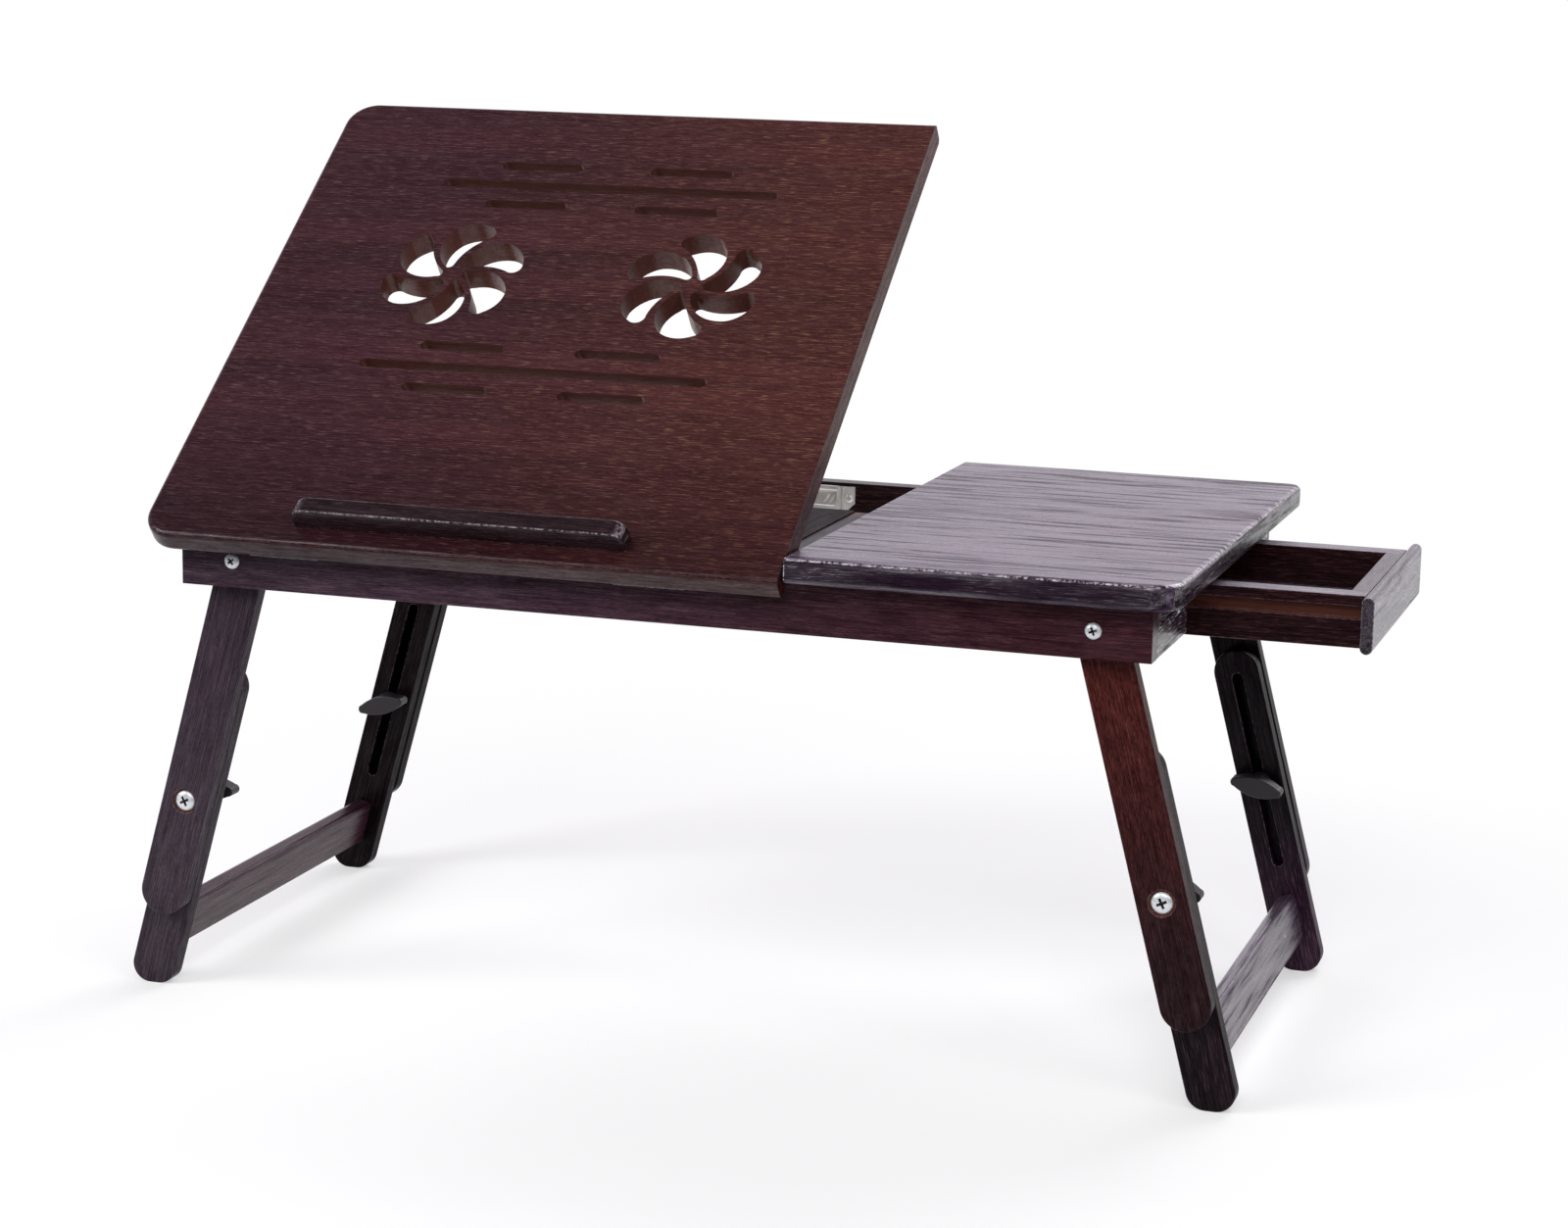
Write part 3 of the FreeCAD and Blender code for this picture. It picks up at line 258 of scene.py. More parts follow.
print("grain group:", len(grain.nodes), "nodes")

# %% [markdown]
# ## Rubbed arrises with a painted highlight
# Where a sanding pad has gone over an edge the stain is thinner and the lacquer thicker, so the
# arris shows a broken line of lighter, shinier specks. Their light tone is mostly a painted
# highlight, standing in for the lamps caught on the rounded arris, with a little real wear. The
# pieces below carry an attribute on their bevelled and rounded faces, and this group turns it into
# a speckled mask that mixes in the light tone.

# %% Shader group: rubbed arris with a painted highlight
arris, ain, aout = group_with(
    "rubbed_arris",
    "ShaderNodeTree",
    [
        ("Vector", "NodeSocketVector", None),
        ("Color", "NodeSocketColor", (0.02, 0.01, 0.01, 1)),
        ("Rubbed tone", "NodeSocketColor", (0.1, 0.05, 0.04, 1)),
        ("Amount", "NodeSocketFloat", 0.5),
    ],
    [("Color", "NodeSocketColor"), ("Mask", "NodeSocketFloat")],
)
speck = add(
    arris, "ShaderNodeTexNoise", {"Vector": ain["Vector"], "Scale": 650.0, "Detail": 3.0}
).outputs["Fac"]
broken = add(arris, "ShaderNodeMapRange", {"Value": speck, "From Min": 0.42, "From Max": 0.62}).outputs[0]
edge = add(arris, "ShaderNodeAttribute", attribute_name="arris").outputs["Fac"]
mask = math_of(arris, "MULTIPLY", math_of(arris, "MULTIPLY", edge, broken), ain["Amount"])
# The light speckled tone: a painted highlight on the arris, with some real wear.
worn = add(
    arris, "ShaderNodeMix", {0: mask, 6: ain["Color"], 7: ain["Rubbed tone"]}, data_type="RGBA"
).outputs[2]
arris.links.new(worn, aout["Color"])
arris.links.new(mask, aout["Mask"])
print("arris group:", len(arris.nodes), "nodes")

# %% [markdown]
# ## Stained bamboo, one function for every board
# All the wood is one lacquered bamboo, but stain soaks in unevenly: some boards are aubergine,
# some reddish, some nearly black; some lilac and grey tones are partly a painted sheen, as noted
# at those boards. The function takes the tones and the way the grain runs. Cut faces inside slots
# and bores drink less stain, so a second attribute blends to a coppery brown there; in the vents
# that tone is partly a painted light. In the drawer's groove it paints the whole groove coppery, a
# painted light for the groove's lit lower face, and on the tray it marks the front and back faces
# and blends to a dark painted shade. A third attribute marks faces with their own grain, tones and
# shine: end grain on most boards, a painted lilac sheen on the drawer's up-facing edges and on the
# drawer face's broad faces.

# %% Stained bamboo
GRAIN_TURNS = {
    "along_x": (0.0, 0.0, 0.0),
    "along_y": (0.0, 0.0, -90.0),
    "panel": (-38.0, 0.0, 0.0),
    "along_panel": (-38.0, 0.0, -90.0),
    "left_leg": (0.0, 75.0, 0.0),
    "right_leg": (0.0, 105.0, 0.0),
}


def grain_along(tree, spot, way, values):
    """The grain group, with the fibres along one way."""
    turns = [math.radians(v) for v in GRAIN_TURNS[way]]
    turned = add(tree, "ShaderNodeMapping", {"Vector": spot, "Rotation": turns}).outputs[0]
    fibres = add(tree, "ShaderNodeGroup", node_tree=grain)
    tree.links.new(turned, fibres.inputs["Vector"])
    for key, value in values.items():
        fibres.inputs[key].default_value = value
    return fibres.outputs


def stained_bamboo(name, way, deep, warm, pore, cut_tone=(96, 58, 48), end_way=None, drifts=(), **looks):
    """Lacquered bamboo from its tones and the way its grain runs. Drifts tint it along an axis,
    as (axis, start, stop, tint), and looks are the shares that differ from board to board."""
    material = bpy.data.materials.new(name)
    material.use_nodes = True
    tree = material.node_tree
    shader = tree.nodes["Principled BSDF"]
    spot = add(tree, "ShaderNodeTexCoord").outputs["Object"]
    streak_size = looks.get("streak_size", (45.0, 300.0))
    values = {
        "Deep tone": rgb(*deep),
        "Warm tone": rgb(*warm),
        "Pore tone": rgb(*pore),
        "Strip contrast": looks.get("strips", 0.15),
        "Strip width": looks.get("strip_width", 0.019),
        "Fibre contrast": looks.get("fibres", 0.45),
        "Fleck contrast": looks.get("flecks", 0.4),
        "Streak contrast": looks.get("streaks", 0.2),
        "Gloss streaks": looks.get("gloss_streaks", 0.4),
        "Streaks per metre along": streak_size[0],
        "Streaks per metre across": streak_size[1],
        "Pore amount": looks.get("pores", 0.4),
        "Roughness": looks.get("roughness", 0.28),
        "Seed": looks.get("seed", 0.0),
    }
    fibres = grain_along(tree, spot, way, values)
    tone, gloss, height = fibres["Color"], fibres["Gloss"], fibres["Height"]
    # Marked faces take their own grain and tones: end grain, or a painted lilac sheen on the drawer's edges
    # and face.
    if end_way is not None:
        end_values = {**values, **END_GRAIN, "Pore tone": rgb(*looks["end_pore"])}
        for key, tones in zip(("Deep tone", "Warm tone"), looks.get("end_tones", ())):
            end_values[key] = rgb(*tones)
        ends = grain_along(tree, spot, end_way, end_values)
        at_end = add(tree, "ShaderNodeAttribute", attribute_name="end").outputs["Fac"]
        tone = add(tree, "ShaderNodeMix", {0: at_end, 6: tone, 7: ends["Color"]}, data_type="RGBA").outputs[2]
        end_gloss = math_of(tree, "MULTIPLY", ends["Gloss"], looks.get("end_shine", 1.0))
        gloss = add(tree, "ShaderNodeMix", {0: at_end, 2: gloss, 3: end_gloss}).outputs[0]
    place = add(tree, "ShaderNodeSeparateXYZ", {0: spot}).outputs
    for axis, start, stop, tint in drifts:
        reach = add(
            tree,
            "ShaderNodeMapRange",
            {"Value": place[axis], "From Min": start, "From Max": stop},
            interpolation_type="SMOOTHSTEP",
        ).outputs[0]
        tone = add(
            tree,
            "ShaderNodeMix",
            {0: reach, 6: tone, 7: (*tint, 1.0)},
            data_type="RGBA",
            blend_type="MULTIPLY",
        ).outputs[2]
    # Coppery bare wood in cuts, partly painted light in the vents, painted light in the drawer's groove, and
    # a dark painted shade on the tray's front and back.
    raw = add(tree, "ShaderNodeAttribute", attribute_name="cut").outputs["Fac"]
    bare = add(
        tree, "ShaderNodeMix", {0: 0.7, 6: fibres["Color"], 7: rgb(*cut_tone)}, data_type="RGBA"
    ).outputs[2]
    faced = add(tree, "ShaderNodeMix", {0: raw, 6: tone, 7: bare}, data_type="RGBA").outputs[2]
    # The arris group mixes in a lighter speckled tone, a painted highlight with some real wear.
    rubbed = add(tree, "ShaderNodeGroup", node_tree=arris)
    tree.links.new(spot, rubbed.inputs["Vector"])
    tree.links.new(faced, rubbed.inputs["Color"])
    rubbed.inputs["Rubbed tone"].default_value = rgb(*looks.get("rubbed", (112, 84, 86)))
    rubbed.inputs["Amount"].default_value = looks.get("wear", 0.5)
    tree.links.new(rubbed.outputs["Color"], shader.inputs["Base Color"])
    tree.links.new(fibres["Roughness"], shader.inputs["Roughness"])
    bump = add(
        tree, "ShaderNodeBump", {"Strength": looks.get("bump", 0.15), "Distance": 0.0003, "Height": height}
    )
    tree.links.new(bump.outputs[0], shader.inputs["Normal"])
    shine = math_of(tree, "MULTIPLY", gloss, looks.get("specular", 0.28))
    tree.links.new(shine, shader.inputs["Specular IOR Level"])
    return material


END_GRAIN = {"Fibre contrast": 1.1, "Fleck contrast": 0.5, "Pore amount": 0.75, "Strip contrast": 0.1}
RED_FADE = (0.19, 0.17, 0.36)

woods = {
    "panel_bamboo": stained_bamboo(
        "panel_bamboo", "panel", (47, 22, 29), (60, 29, 36), (126, 90, 84), strips=0.1, pores=0.45, seed=1,
        rubbed=(104, 78, 82), wear=0.3, end_way="along_panel", end_pore=(92, 74, 86), end_shine=0.15,
        streaks=0.1, streak_size=(90.0, 500.0), fibres=0.38,
        drifts=[(0, -0.25, 0.05, (1.6, 1.6, 1.0)), (2, 0.33, 0.245, (0.5, 0.42, 0.52))],
    ),
    # The tray's lilac tones are partly a painted sheen; its front and back faces take a dark painted shade,
    # and its near-white arris tone is a painted highlight.
    "tray_bamboo": stained_bamboo(
        "tray_bamboo", "along_x", (54, 36, 57), (70, 48, 73), (128, 112, 132), seed=2, roughness=0.24,
        cut_tone=(16, 9, 13), rubbed=(214, 204, 216), wear=1.0, specular=0.6,
        end_way="along_y", end_pore=(140, 128, 144), end_tones=((30, 19, 28), (42, 28, 40)),
        streaks=0.5, streak_size=(15.0, 210.0), pores=0.2, bump=0.4, gloss_streaks=1.9,
    ),
    "rail_bamboo": stained_bamboo(
        "rail_bamboo", "along_x", (46, 34, 43), (62, 46, 58), (104, 76, 84), strips=0.1, seed=3,
        drifts=[(0, -0.25, 0.2, (0.86, 0.4, 0.42))], streaks=0.25,
    ),
    "end_bamboo": stained_bamboo(
        "end_bamboo", "along_y", (30, 17, 24), (46, 30, 38), (190, 180, 192), strips=0.1, seed=4,
        fibres=1.0, pores=0.85, specular=0.4, streaks=0.7, streak_size=(30.0, 420.0), gloss_streaks=1.6,
    ),
    # The grey-purple of the left front bars is partly a painted sheen.
    "left_leg_bamboo": stained_bamboo(
        "left_leg_bamboo", "left_leg", (42, 33, 41), (54, 44, 53), (92, 80, 92), strips=0.1, pores=0.3,
        seed=5, rubbed=(140, 128, 142), specular=0.14, fibres=0.45, streaks=0.2, streak_size=(60.0, 420.0),
        end_way="left_leg", end_pore=(80, 70, 80), end_shine=0.2,
    ),
    "left_back_leg_bamboo": stained_bamboo(
        "left_back_leg_bamboo", "left_leg", (9, 4, 7), (16, 8, 12), (52, 40, 46), strips=0.1, pores=0.3,
        seed=13, rubbed=(110, 96, 108), specular=0.08, fibres=0.7, end_way="left_leg",
        end_pore=(52, 40, 46), end_shine=0.2,
    ),
    "right_leg_bamboo": stained_bamboo(
        "right_leg_bamboo", "right_leg", (56, 22, 22), (76, 33, 30), (122, 66, 52), strips=0.1, seed=6,
        flecks=0.8, drifts=[(2, 0.225, 0.06, RED_FADE)], specular=0.12, streaks=0.3,
        streak_size=(110.0, 420.0), rubbed=(150, 128, 134), end_way="right_leg",
        end_pore=(96, 78, 84), end_shine=0.2,
    ),
    "dark_leg_bamboo": stained_bamboo(
        "dark_leg_bamboo", "right_leg", (13, 6, 10), (24, 13, 19), (72, 52, 60), strips=0.1, pores=0.4,
        seed=7, rubbed=(120, 104, 118), specular=0.08, fibres=0.8, streaks=0.3, end_way="right_leg",
        end_pore=(72, 52, 60), end_shine=0.2,
    ),
    "right_back_leg_bamboo": stained_bamboo(
        "right_back_leg_bamboo", "right_leg", (10, 5, 9), (18, 10, 16), (60, 46, 54), strips=0.1, pores=0.3,
        seed=14, rubbed=(120, 104, 118), specular=0.1, drifts=[(2, 0.1, 0.03, (5.0, 4.0, 5.0))],
        end_way="right_leg", end_pore=(60, 46, 54), end_shine=0.2,
    ),
    "left_stretcher_bamboo": stained_bamboo(
        "left_stretcher_bamboo", "along_y", (42, 20, 30), (58, 32, 43), (100, 74, 84), strips=0.1, seed=8,
        specular=0.2, streaks=0.2, streak_size=(18.0, 420.0), pores=0.3,
    ),
    # The right stretcher's light lilac tones, beside the darker left one, are partly a painted sheen on its
    # lit face.
    "right_stretcher_bamboo": stained_bamboo(
        "right_stretcher_bamboo", "along_y", (58, 47, 61), (84, 71, 88), (150, 138, 154), strips=0.1, seed=15,
        specular=0.5, streaks=0.4, streak_size=(18.0, 420.0), fibres=0.8, gloss_streaks=1.2,
    ),
    "inner_bamboo": stained_bamboo(
        "inner_bamboo", "along_y", (26, 17, 20), (42, 28, 30), (84, 66, 68), strips=0.1, seed=16,
        specular=0.05, roughness=0.6,
    ),
    "ledge_bamboo": stained_bamboo(
        "ledge_bamboo", "along_y", (30, 23, 27), (42, 34, 38), (84, 74, 80), strips=0.1, seed=17,
        specular=0.1, roughness=0.4, drifts=[(1, 0.07, 0.08, (3.6, 1.7, 1.1))],
    ),
    # The drawer's up-facing edges take light lilac tones, a painted sheen, and its groove a coppery painted
    # light.
    "drawer_bamboo": stained_bamboo(
        "drawer_bamboo", "along_x", (22, 9, 13), (36, 15, 19), (92, 58, 56), strips=0.1, seed=9,
        cut_tone=(96, 54, 43), rubbed=(120, 96, 104), end_way="along_x", end_pore=(160, 146, 160),
        end_tones=((66, 56, 66), (90, 78, 90)), specular=0.14, streaks=0.35, end_shine=3.0,
    ),
    "drawer_end_bamboo": stained_bamboo(
        "drawer_end_bamboo", "along_y", (34, 20, 25), (52, 32, 38), (112, 90, 96), strips=0.1, seed=10,
        pores=0.5, specular=0.35, streaks=0.3,
    ),
    # The drawer face's broad faces take light lilac tones, partly a painted sheen.
    "drawer_face_bamboo": stained_bamboo(
        "drawer_face_bamboo", "along_y", (36, 30, 37), (54, 46, 55), (120, 110, 124), strips=0.05, seed=12,
        specular=0.5, fibres=0.8, pores=0.6, rubbed=(150, 140, 152), end_way="along_y",
        end_pore=(176, 166, 180), end_tones=((66, 57, 70), (88, 78, 92)), streaks=0.4,
        streak_size=(18.0, 420.0), gloss_streaks=1.0,
    ),
    "stop_bamboo": stained_bamboo(
        "stop_bamboo", "panel", (26, 14, 19), (40, 23, 28), (84, 60, 66), strips=0.1, seed=11,
        rubbed=(176, 158, 168), wear=0.8, end_way="along_panel", end_pore=(140, 124, 132), streaks=0.3,
    ),
}
print("woods:", sorted(woods))

# %% [markdown]
# ## Softened boards
# The CAD boards have knife-sharp arrises, and a sharp edge never catches the light. Each board is
# copied, its loose triangles are merged back into flat faces, and a real bevel is cut along every
# sharp edge. That is better than a bevel made in the shader, because it also shows in the outline.
# The new faces are marked, so that the arris group finds them for its painted highlight and wear.

# %% Helper: a softened copy of CAD boards
FINISH = {}
HARD_EDGE = math.radians(40)
SMOOTH_ANGLE = math.radians(32)


def merged(name):
    """The CAD piece as whole faces again, in a bmesh."""
    shell = bmesh.new()
    shell.from_mesh(parts[name].data)
    bmesh.ops.remove_doubles(shell, verts=shell.verts, dist=1e-6)
    bmesh.ops.dissolve_limit(shell, angle_limit=math.radians(0.5), verts=shell.verts, edges=shell.edges)
    return shell


def hard_edges(shell):
    """The edges between two faces that meet at a real corner."""
    found = []
    for line in shell.edges:
        if len(line.link_faces) == 2 and line.calc_face_angle(0.0) > HARD_EDGE:
            found.append(line)
    return found


def finished(shell, name, material, stands_for):
    """A piece from a bmesh: smooth where it is round, in its place, riding with its body."""
    mesh = bpy.data.meshes.new(name)
    shell.to_mesh(mesh)
    shell.free()
    mesh.polygons.foreach_set("use_smooth", [True] * len(mesh.polygons))
    mesh.set_sharp_from_angle(angle=SMOOTH_ANGLE)
    mesh.materials.append(material)
    piece = bpy.data.objects.new(name, mesh)
    bpy.context.scene.collection.objects.link(piece)
    even = piece.modifiers.new("even_flats", "WEIGHTED_NORMAL")
    even.keep_sharp = True
    even.weight = 100
    bpy.context.view_layer.update()
    weighed = bpy.data.meshes.new_from_object(piece.evaluated_get(bpy.context.evaluated_depsgraph_get()))
    piece.modifiers.clear()
    piece.data = weighed
    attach(piece, parts[stands_for[0]]["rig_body"])
    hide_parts(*stands_for)
    return piece


def soften(name, material, width=0.0006, **marks):
    """Replace one board with a copy whose arrises are rounded. Its faces carry the marks that
    the material reads: each mark is a test that gives a face its share, from 0 to 1."""
    shell = merged(name)
    layers = {key: shell.faces.layers.float.new(key) for key in ("arris", "cut", "end")}
    shell.normal_update()
    for face in shell.faces:
        for key, test in marks.items():
            face[layers[key]] = float(test(face))
    hard = hard_edges(shell)
    made = bmesh.ops.bevel(
        shell, geom=hard, offset=width, segments=2, profile=0.5, affect="EDGES", clamp_overlap=True
    )
    # Every bevelled face takes the arris's painted highlight and wear.
    for face in made["faces"]:
        face[layers["arris"]] = 1.0
    piece = finished(shell, name + "_board", material, [name])
    FINISH[name] = len(piece.data.polygons)
    return piece


def faces_x(face):
    return abs(face.normal.x) > 0.8


def faces_y(face):
    return abs(face.normal.y) > 0.8


def faces_up(face):
    return face.normal.z > 0.8


def round_over(up_way):
    """How much a face looks like the upper half of a round-over, for boards that face up_way: the band that
    takes the painted highlight.
    """
    def share(face):
        slope = face.normal.dot(up_way)
        return max(0.0, 1.0 - abs(slope - 0.72) / 0.24)
    return share


# %% The frame's rails, guides and racks
for name in ("front_rail", "drawer_guide_front", "drawer_guide_back"):
    soften(name, woods["rail_bamboo"])
soften("back_rail", woods["drawer_bamboo"])
for name in ("drawer_runner_front", "drawer_runner_back", "rack_left", "rack_right"):
    soften(name, woods["inner_bamboo"], 0.0003)
soften("center_ledge", woods["ledge_bamboo"], 0.0003)
for name in ("right_end_block_front", "right_end_block_back"):
    soften(name, woods["end_bamboo"])
for name in ("left_end_rail", "center_rail"):
    soften(name, woods["drawer_end_bamboo"])
print("frame boards:", FINISH)

# %% [markdown]
# ## The two boards of the top
# The panel and the tray have a generous round-over from CAD. The bevel only has to break the
# sharp rims of the vents and of the ends that meet. Faces that look neither up nor down, nor
# straight out at the sides, belong to the round-over; those on its upper part are marked for the
# arris's painted highlight. Faces inside the vents are marked for the coppery cut tone, which is
# partly a painted light, and the tray's front and back faces for a dark painted shade.

# %% The top
TILT = math.radians(38)
panel_up = Vector((0, -math.sin(TILT), math.cos(TILT)))
panel_low, panel_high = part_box("reading_panel")
VENT_MARGIN = 0.05
VENT_MARGIN_TOP = 0.03
vent_left, vent_right = panel_low.x + VENT_MARGIN, panel_high.x - VENT_MARGIN
vent_bottom, vent_top = panel_low.z + VENT_MARGIN, panel_high.z - VENT_MARGIN_TOP


def in_panel_vent(face):
    spot = face.calc_center_median()
    inside = vent_left < spot.x < vent_right and vent_bottom < spot.z < vent_top
    return inside and abs(face.normal.dot(panel_up)) < 0.5


over_panel, over_tray = round_over(panel_up), round_over(Vector((0, 0, 1)))
soften("reading_panel", woods["panel_bamboo"], 0.0005, cut=in_panel_vent, arris=over_panel, end=faces_x)
soften("fixed_tray", woods["tray_bamboo"], 0.0008, arris=over_tray, end=faces_x, cut=faces_y)
soften("book_stop", woods["stop_bamboo"], 0.0004, arris=over_panel, end=faces_x)
print("top:", {k: FINISH[k] for k in ("reading_panel", "fixed_tray", "book_stop")})

# %% The legs
LEG_WOODS = {
    "left_upper_bar_front": "left_leg_bamboo",
    "left_upper_bar_back": "left_back_leg_bamboo",
    "left_lower_bar_front": "left_leg_bamboo",
    "left_lower_bar_back": "left_back_leg_bamboo",
    "right_upper_bar_front": "right_leg_bamboo",
    "right_upper_bar_back": "right_back_leg_bamboo",
    "right_lower_bar_front": "dark_leg_bamboo",
    "right_lower_bar_back": "right_back_leg_bamboo",
}
BOLT_SEAT_REACH = 0.0073
BOLT_SEAT_AREA = 0.0002
bolt_spots = []
for side in ("left", "right"):
    low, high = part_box(side + "_leg_bolts")
    bolt_spots.append((low + high) / 2)


def in_bolt_seat(face):
    """The small faces of the seat that is sunk round a bolt's head."""
    spot = face.calc_center_median()
    near = min(math.hypot(spot.x - bolt.x, spot.z - bolt.z) for bolt in bolt_spots)
    return near < BOLT_SEAT_REACH and face.calc_area() < BOLT_SEAT_AREA


for name, wood in LEG_WOODS.items():
    soften(name, woods[wood], 0.0004, cut=in_bolt_seat, end=faces_x)
for name in ("left_stretcher", "right_stretcher"):
    soften(name, woods[name + "_bamboo"], 0.0005)
print("legs:", {k: FINISH[k] for k in LEG_WOODS})

# %% The drawer
side_low, side_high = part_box("drawer_side_front")
GROOVE_MIDDLE_REACH = 0.05
GROOVE_TOP, GROOVE_BOTTOM = 0.005, 0.0125


def in_groove(face):
    """The groove along the outside of a drawer side."""
    spot = face.calc_center_median()
    level = side_high.z - spot.z
    middle = (side_low.x + side_high.x) / 2
    long_one = abs(spot.x - middle) < GROOVE_MIDDLE_REACH and abs(face.normal.x) < 0.5
    return long_one and GROOVE_TOP < level < GROOVE_BOTTOM


# The groove takes a coppery painted light, and the up-facing edges a light lilac painted sheen.
for name in ("drawer_side_front", "drawer_side_back", "drawer_floor"):
    soften(name, woods["drawer_bamboo"], 0.0004, cut=in_groove, end=faces_up)
for name in ("drawer_rear_wall", "drawer_inner_front_wall"):
    soften(name, woods["drawer_end_bamboo"], 0.0004)
# Its broad faces take light lilac tones, partly a painted sheen.
soften("drawer_face", woods["drawer_face_bamboo"], 0.0005, end=faces_x)
for name in ("prop_arm_left", "prop_arm_right"):
    soften(name, woods["drawer_bamboo"], 0.0004)
print("boards so far:", len(FINISH))

# %% [markdown]
# ## Metal and plastic
# The bolts and screws are zinc plated, the catch is nickel plated and the wing knobs are moulded
# in dark plastic. Plated steel is never a perfect mirror: tumbled parts carry fine scratches and
# a cloudy plating, so the roughness is driven by noise. Moulded plastic has a fine grained skin.

# %% Plated steel and moulded plastic
def plated(name, colour, roughness, cloud_scale, scratch, metallic):
    """Plated steel: cloudy, finely scratched, and with a painted shade inside a recess."""
    material = bpy.data.materials.new(name)
    material.use_nodes = True
    tree = material.node_tree
    shader = tree.nodes["Principled BSDF"]
    spot = add(tree, "ShaderNodeTexCoord").outputs["Object"]
    cloudy = add(
        tree, "ShaderNodeTexNoise", {"Vector": spot, "Scale": cloud_scale, "Detail": 4.0}
    ).outputs["Fac"]
    smoothest, roughest = roughness * 0.7, roughness * 1.5
    rough = add(
        tree,
        "ShaderNodeMapRange",
        {"Value": cloudy, "From Min": 0.3, "From Max": 0.7, "To Min": smoothest, "To Max": roughest},
    ).outputs[0]
    tone = add(
        tree,
        "ShaderNodeMix",
        {0: cloudy, 6: rgb(*[v * 0.82 for v in colour]), 7: rgb(*colour)},
        data_type="RGBA",
    ).outputs[2]
    fine = add(tree, "ShaderNodeTexNoise", {"Vector": spot, "Scale": 2600.0, "Detail": 2.0}).outputs["Fac"]
    bump = add(tree, "ShaderNodeBump", {"Strength": scratch, "Distance": 0.00005, "Height": fine})
    # The faces inside the cross recess take a dark painted shade.
    recessed = add(tree, "ShaderNodeAttribute", attribute_name="recess").outputs["Fac"]
    tone = add(tree, "ShaderNodeMix", {0: recessed, 6: tone, 7: rgb(38, 38, 44)}, data_type="RGBA").outputs[2]
    tree.links.new(tone, shader.inputs["Base Color"])
    tree.links.new(rough, shader.inputs["Roughness"])
    tree.links.new(bump.outputs[0], shader.inputs["Normal"])
    shader.inputs["Metallic"].default_value = metallic
    return material


def moulded(name, colour, roughness):
    """Moulded plastic with a fine grained skin, rubbed smoother in places."""
    material = bpy.data.materials.new(name)
    material.use_nodes = True
    tree = material.node_tree
    shader = tree.nodes["Principled BSDF"]
    spot = add(tree, "ShaderNodeTexCoord").outputs["Object"]
    skin = add(tree, "ShaderNodeTexVoronoi", {"Vector": spot, "Scale": 1400.0}).outputs["Distance"]
    rubbed = add(tree, "ShaderNodeTexNoise", {"Vector": spot, "Scale": 60.0, "Detail": 3.0}).outputs["Fac"]
    rough = add(
        tree, "ShaderNodeMapRange", {"Value": rubbed, "To Min": roughness - 0.1, "To Max": roughness + 0.1}
    ).outputs[0]
    tone = add(
        tree,
        "ShaderNodeMix",
        {0: rubbed, 6: rgb(*colour), 7: rgb(*[v * 1.3 for v in colour])},
        data_type="RGBA",
    ).outputs[2]
    bump = add(tree, "ShaderNodeBump", {"Strength": 0.2, "Distance": 0.0002, "Height": skin})
    tree.links.new(tone, shader.inputs["Base Color"])
    tree.links.new(rough, shader.inputs["Roughness"])
    tree.links.new(bump.outputs[0], shader.inputs["Normal"])
    return material


zinc = plated("zinc_plate", (232, 236, 240), 0.3, 300.0, 0.15, 0.45)
nickel = plated("nickel_plate", (252, 250, 246), 0.18, 220.0, 0.12, 0.4)
knob_plastic = moulded("knob_plastic", (24, 20, 25), 0.5)
print("metals:", zinc.name, nickel.name, "plastic:", knob_plastic.name)

# %% [markdown]
# ## Screws from one Geometry Nodes tree
# One tree makes 12 of the desk's 17 screws and bolts, in three sizes: the leg pivots, the leg
# bolts and the screws of the rails' hinge leaves. It scales a head of unit size, adds a shank, and
# stands the result on every point of a small point mesh, turned to the point's facing attribute.
# The unit head is turned on a profile like a lathe job, and the cross recess is cut with a
# boolean. The catch's screw keeps its CAD shape, and so do the four in the panel's hinge leaves,
# which are plain pins without heads.

# %% A screw head of unit size
def lathe(name, profile, sides):
    """A closed body turned from a profile of (radius, height) pairs, from bottom to top."""
    shell = bmesh.new()
    rings = []
    for radius, height in profile:
        if radius == 0:
            rings.append([shell.verts.new((0, 0, height))])
            continue
        ring = []
        for step in range(sides):
            angle = math.tau * step / sides
            ring.append(shell.verts.new((radius * math.cos(angle), radius * math.sin(angle), height)))
        rings.append(ring)
    for low, high in zip(rings, rings[1:]):
        for step in range(sides):
            after = (step + 1) % sides
            if len(low) == 1:
                shell.faces.new((low[0], high[after], high[step]))
            elif len(high) == 1:
                shell.faces.new((low[step], low[after], high[0]))
            else:
                shell.faces.new((low[step], low[after], high[after], high[step]))
    mesh = bpy.data.meshes.new(name)
    bmesh.ops.recalc_face_normals(shell, faces=shell.faces)
    shell.to_mesh(mesh)
    shell.free()
    return bpy.data.objects.new(name, mesh)


def tapered_cross(name, reach, half_width, top, bottom):
    """The bit of a cross-head driver: two tapering blades."""
    shell = bmesh.new()
    for turned in (False, True):
        corners = []
        for level, share in ((top, 1.0), (bottom, 0.35)):
            for x, y in ((-1, -1), (1, -1), (1, 1), (-1, 1)):
                spot = [x * reach * share, y * half_width * max(share, 0.7)]
                if turned:
                    spot.reverse()
                corners.append(shell.verts.new((*spot, level)))
        for ring in ((0, 1, 2, 3), (7, 6, 5, 4), (0, 4, 5, 1), (1, 5, 6, 2), (2, 6, 7, 3), (3, 7, 4, 0)):
            shell.faces.new([corners[i] for i in ring])
    bmesh.ops.recalc_face_normals(shell, faces=shell.faces)
    mesh = bpy.data.meshes.new(name)
    shell.to_mesh(mesh)
    shell.free()
    return bpy.data.objects.new(name, mesh)


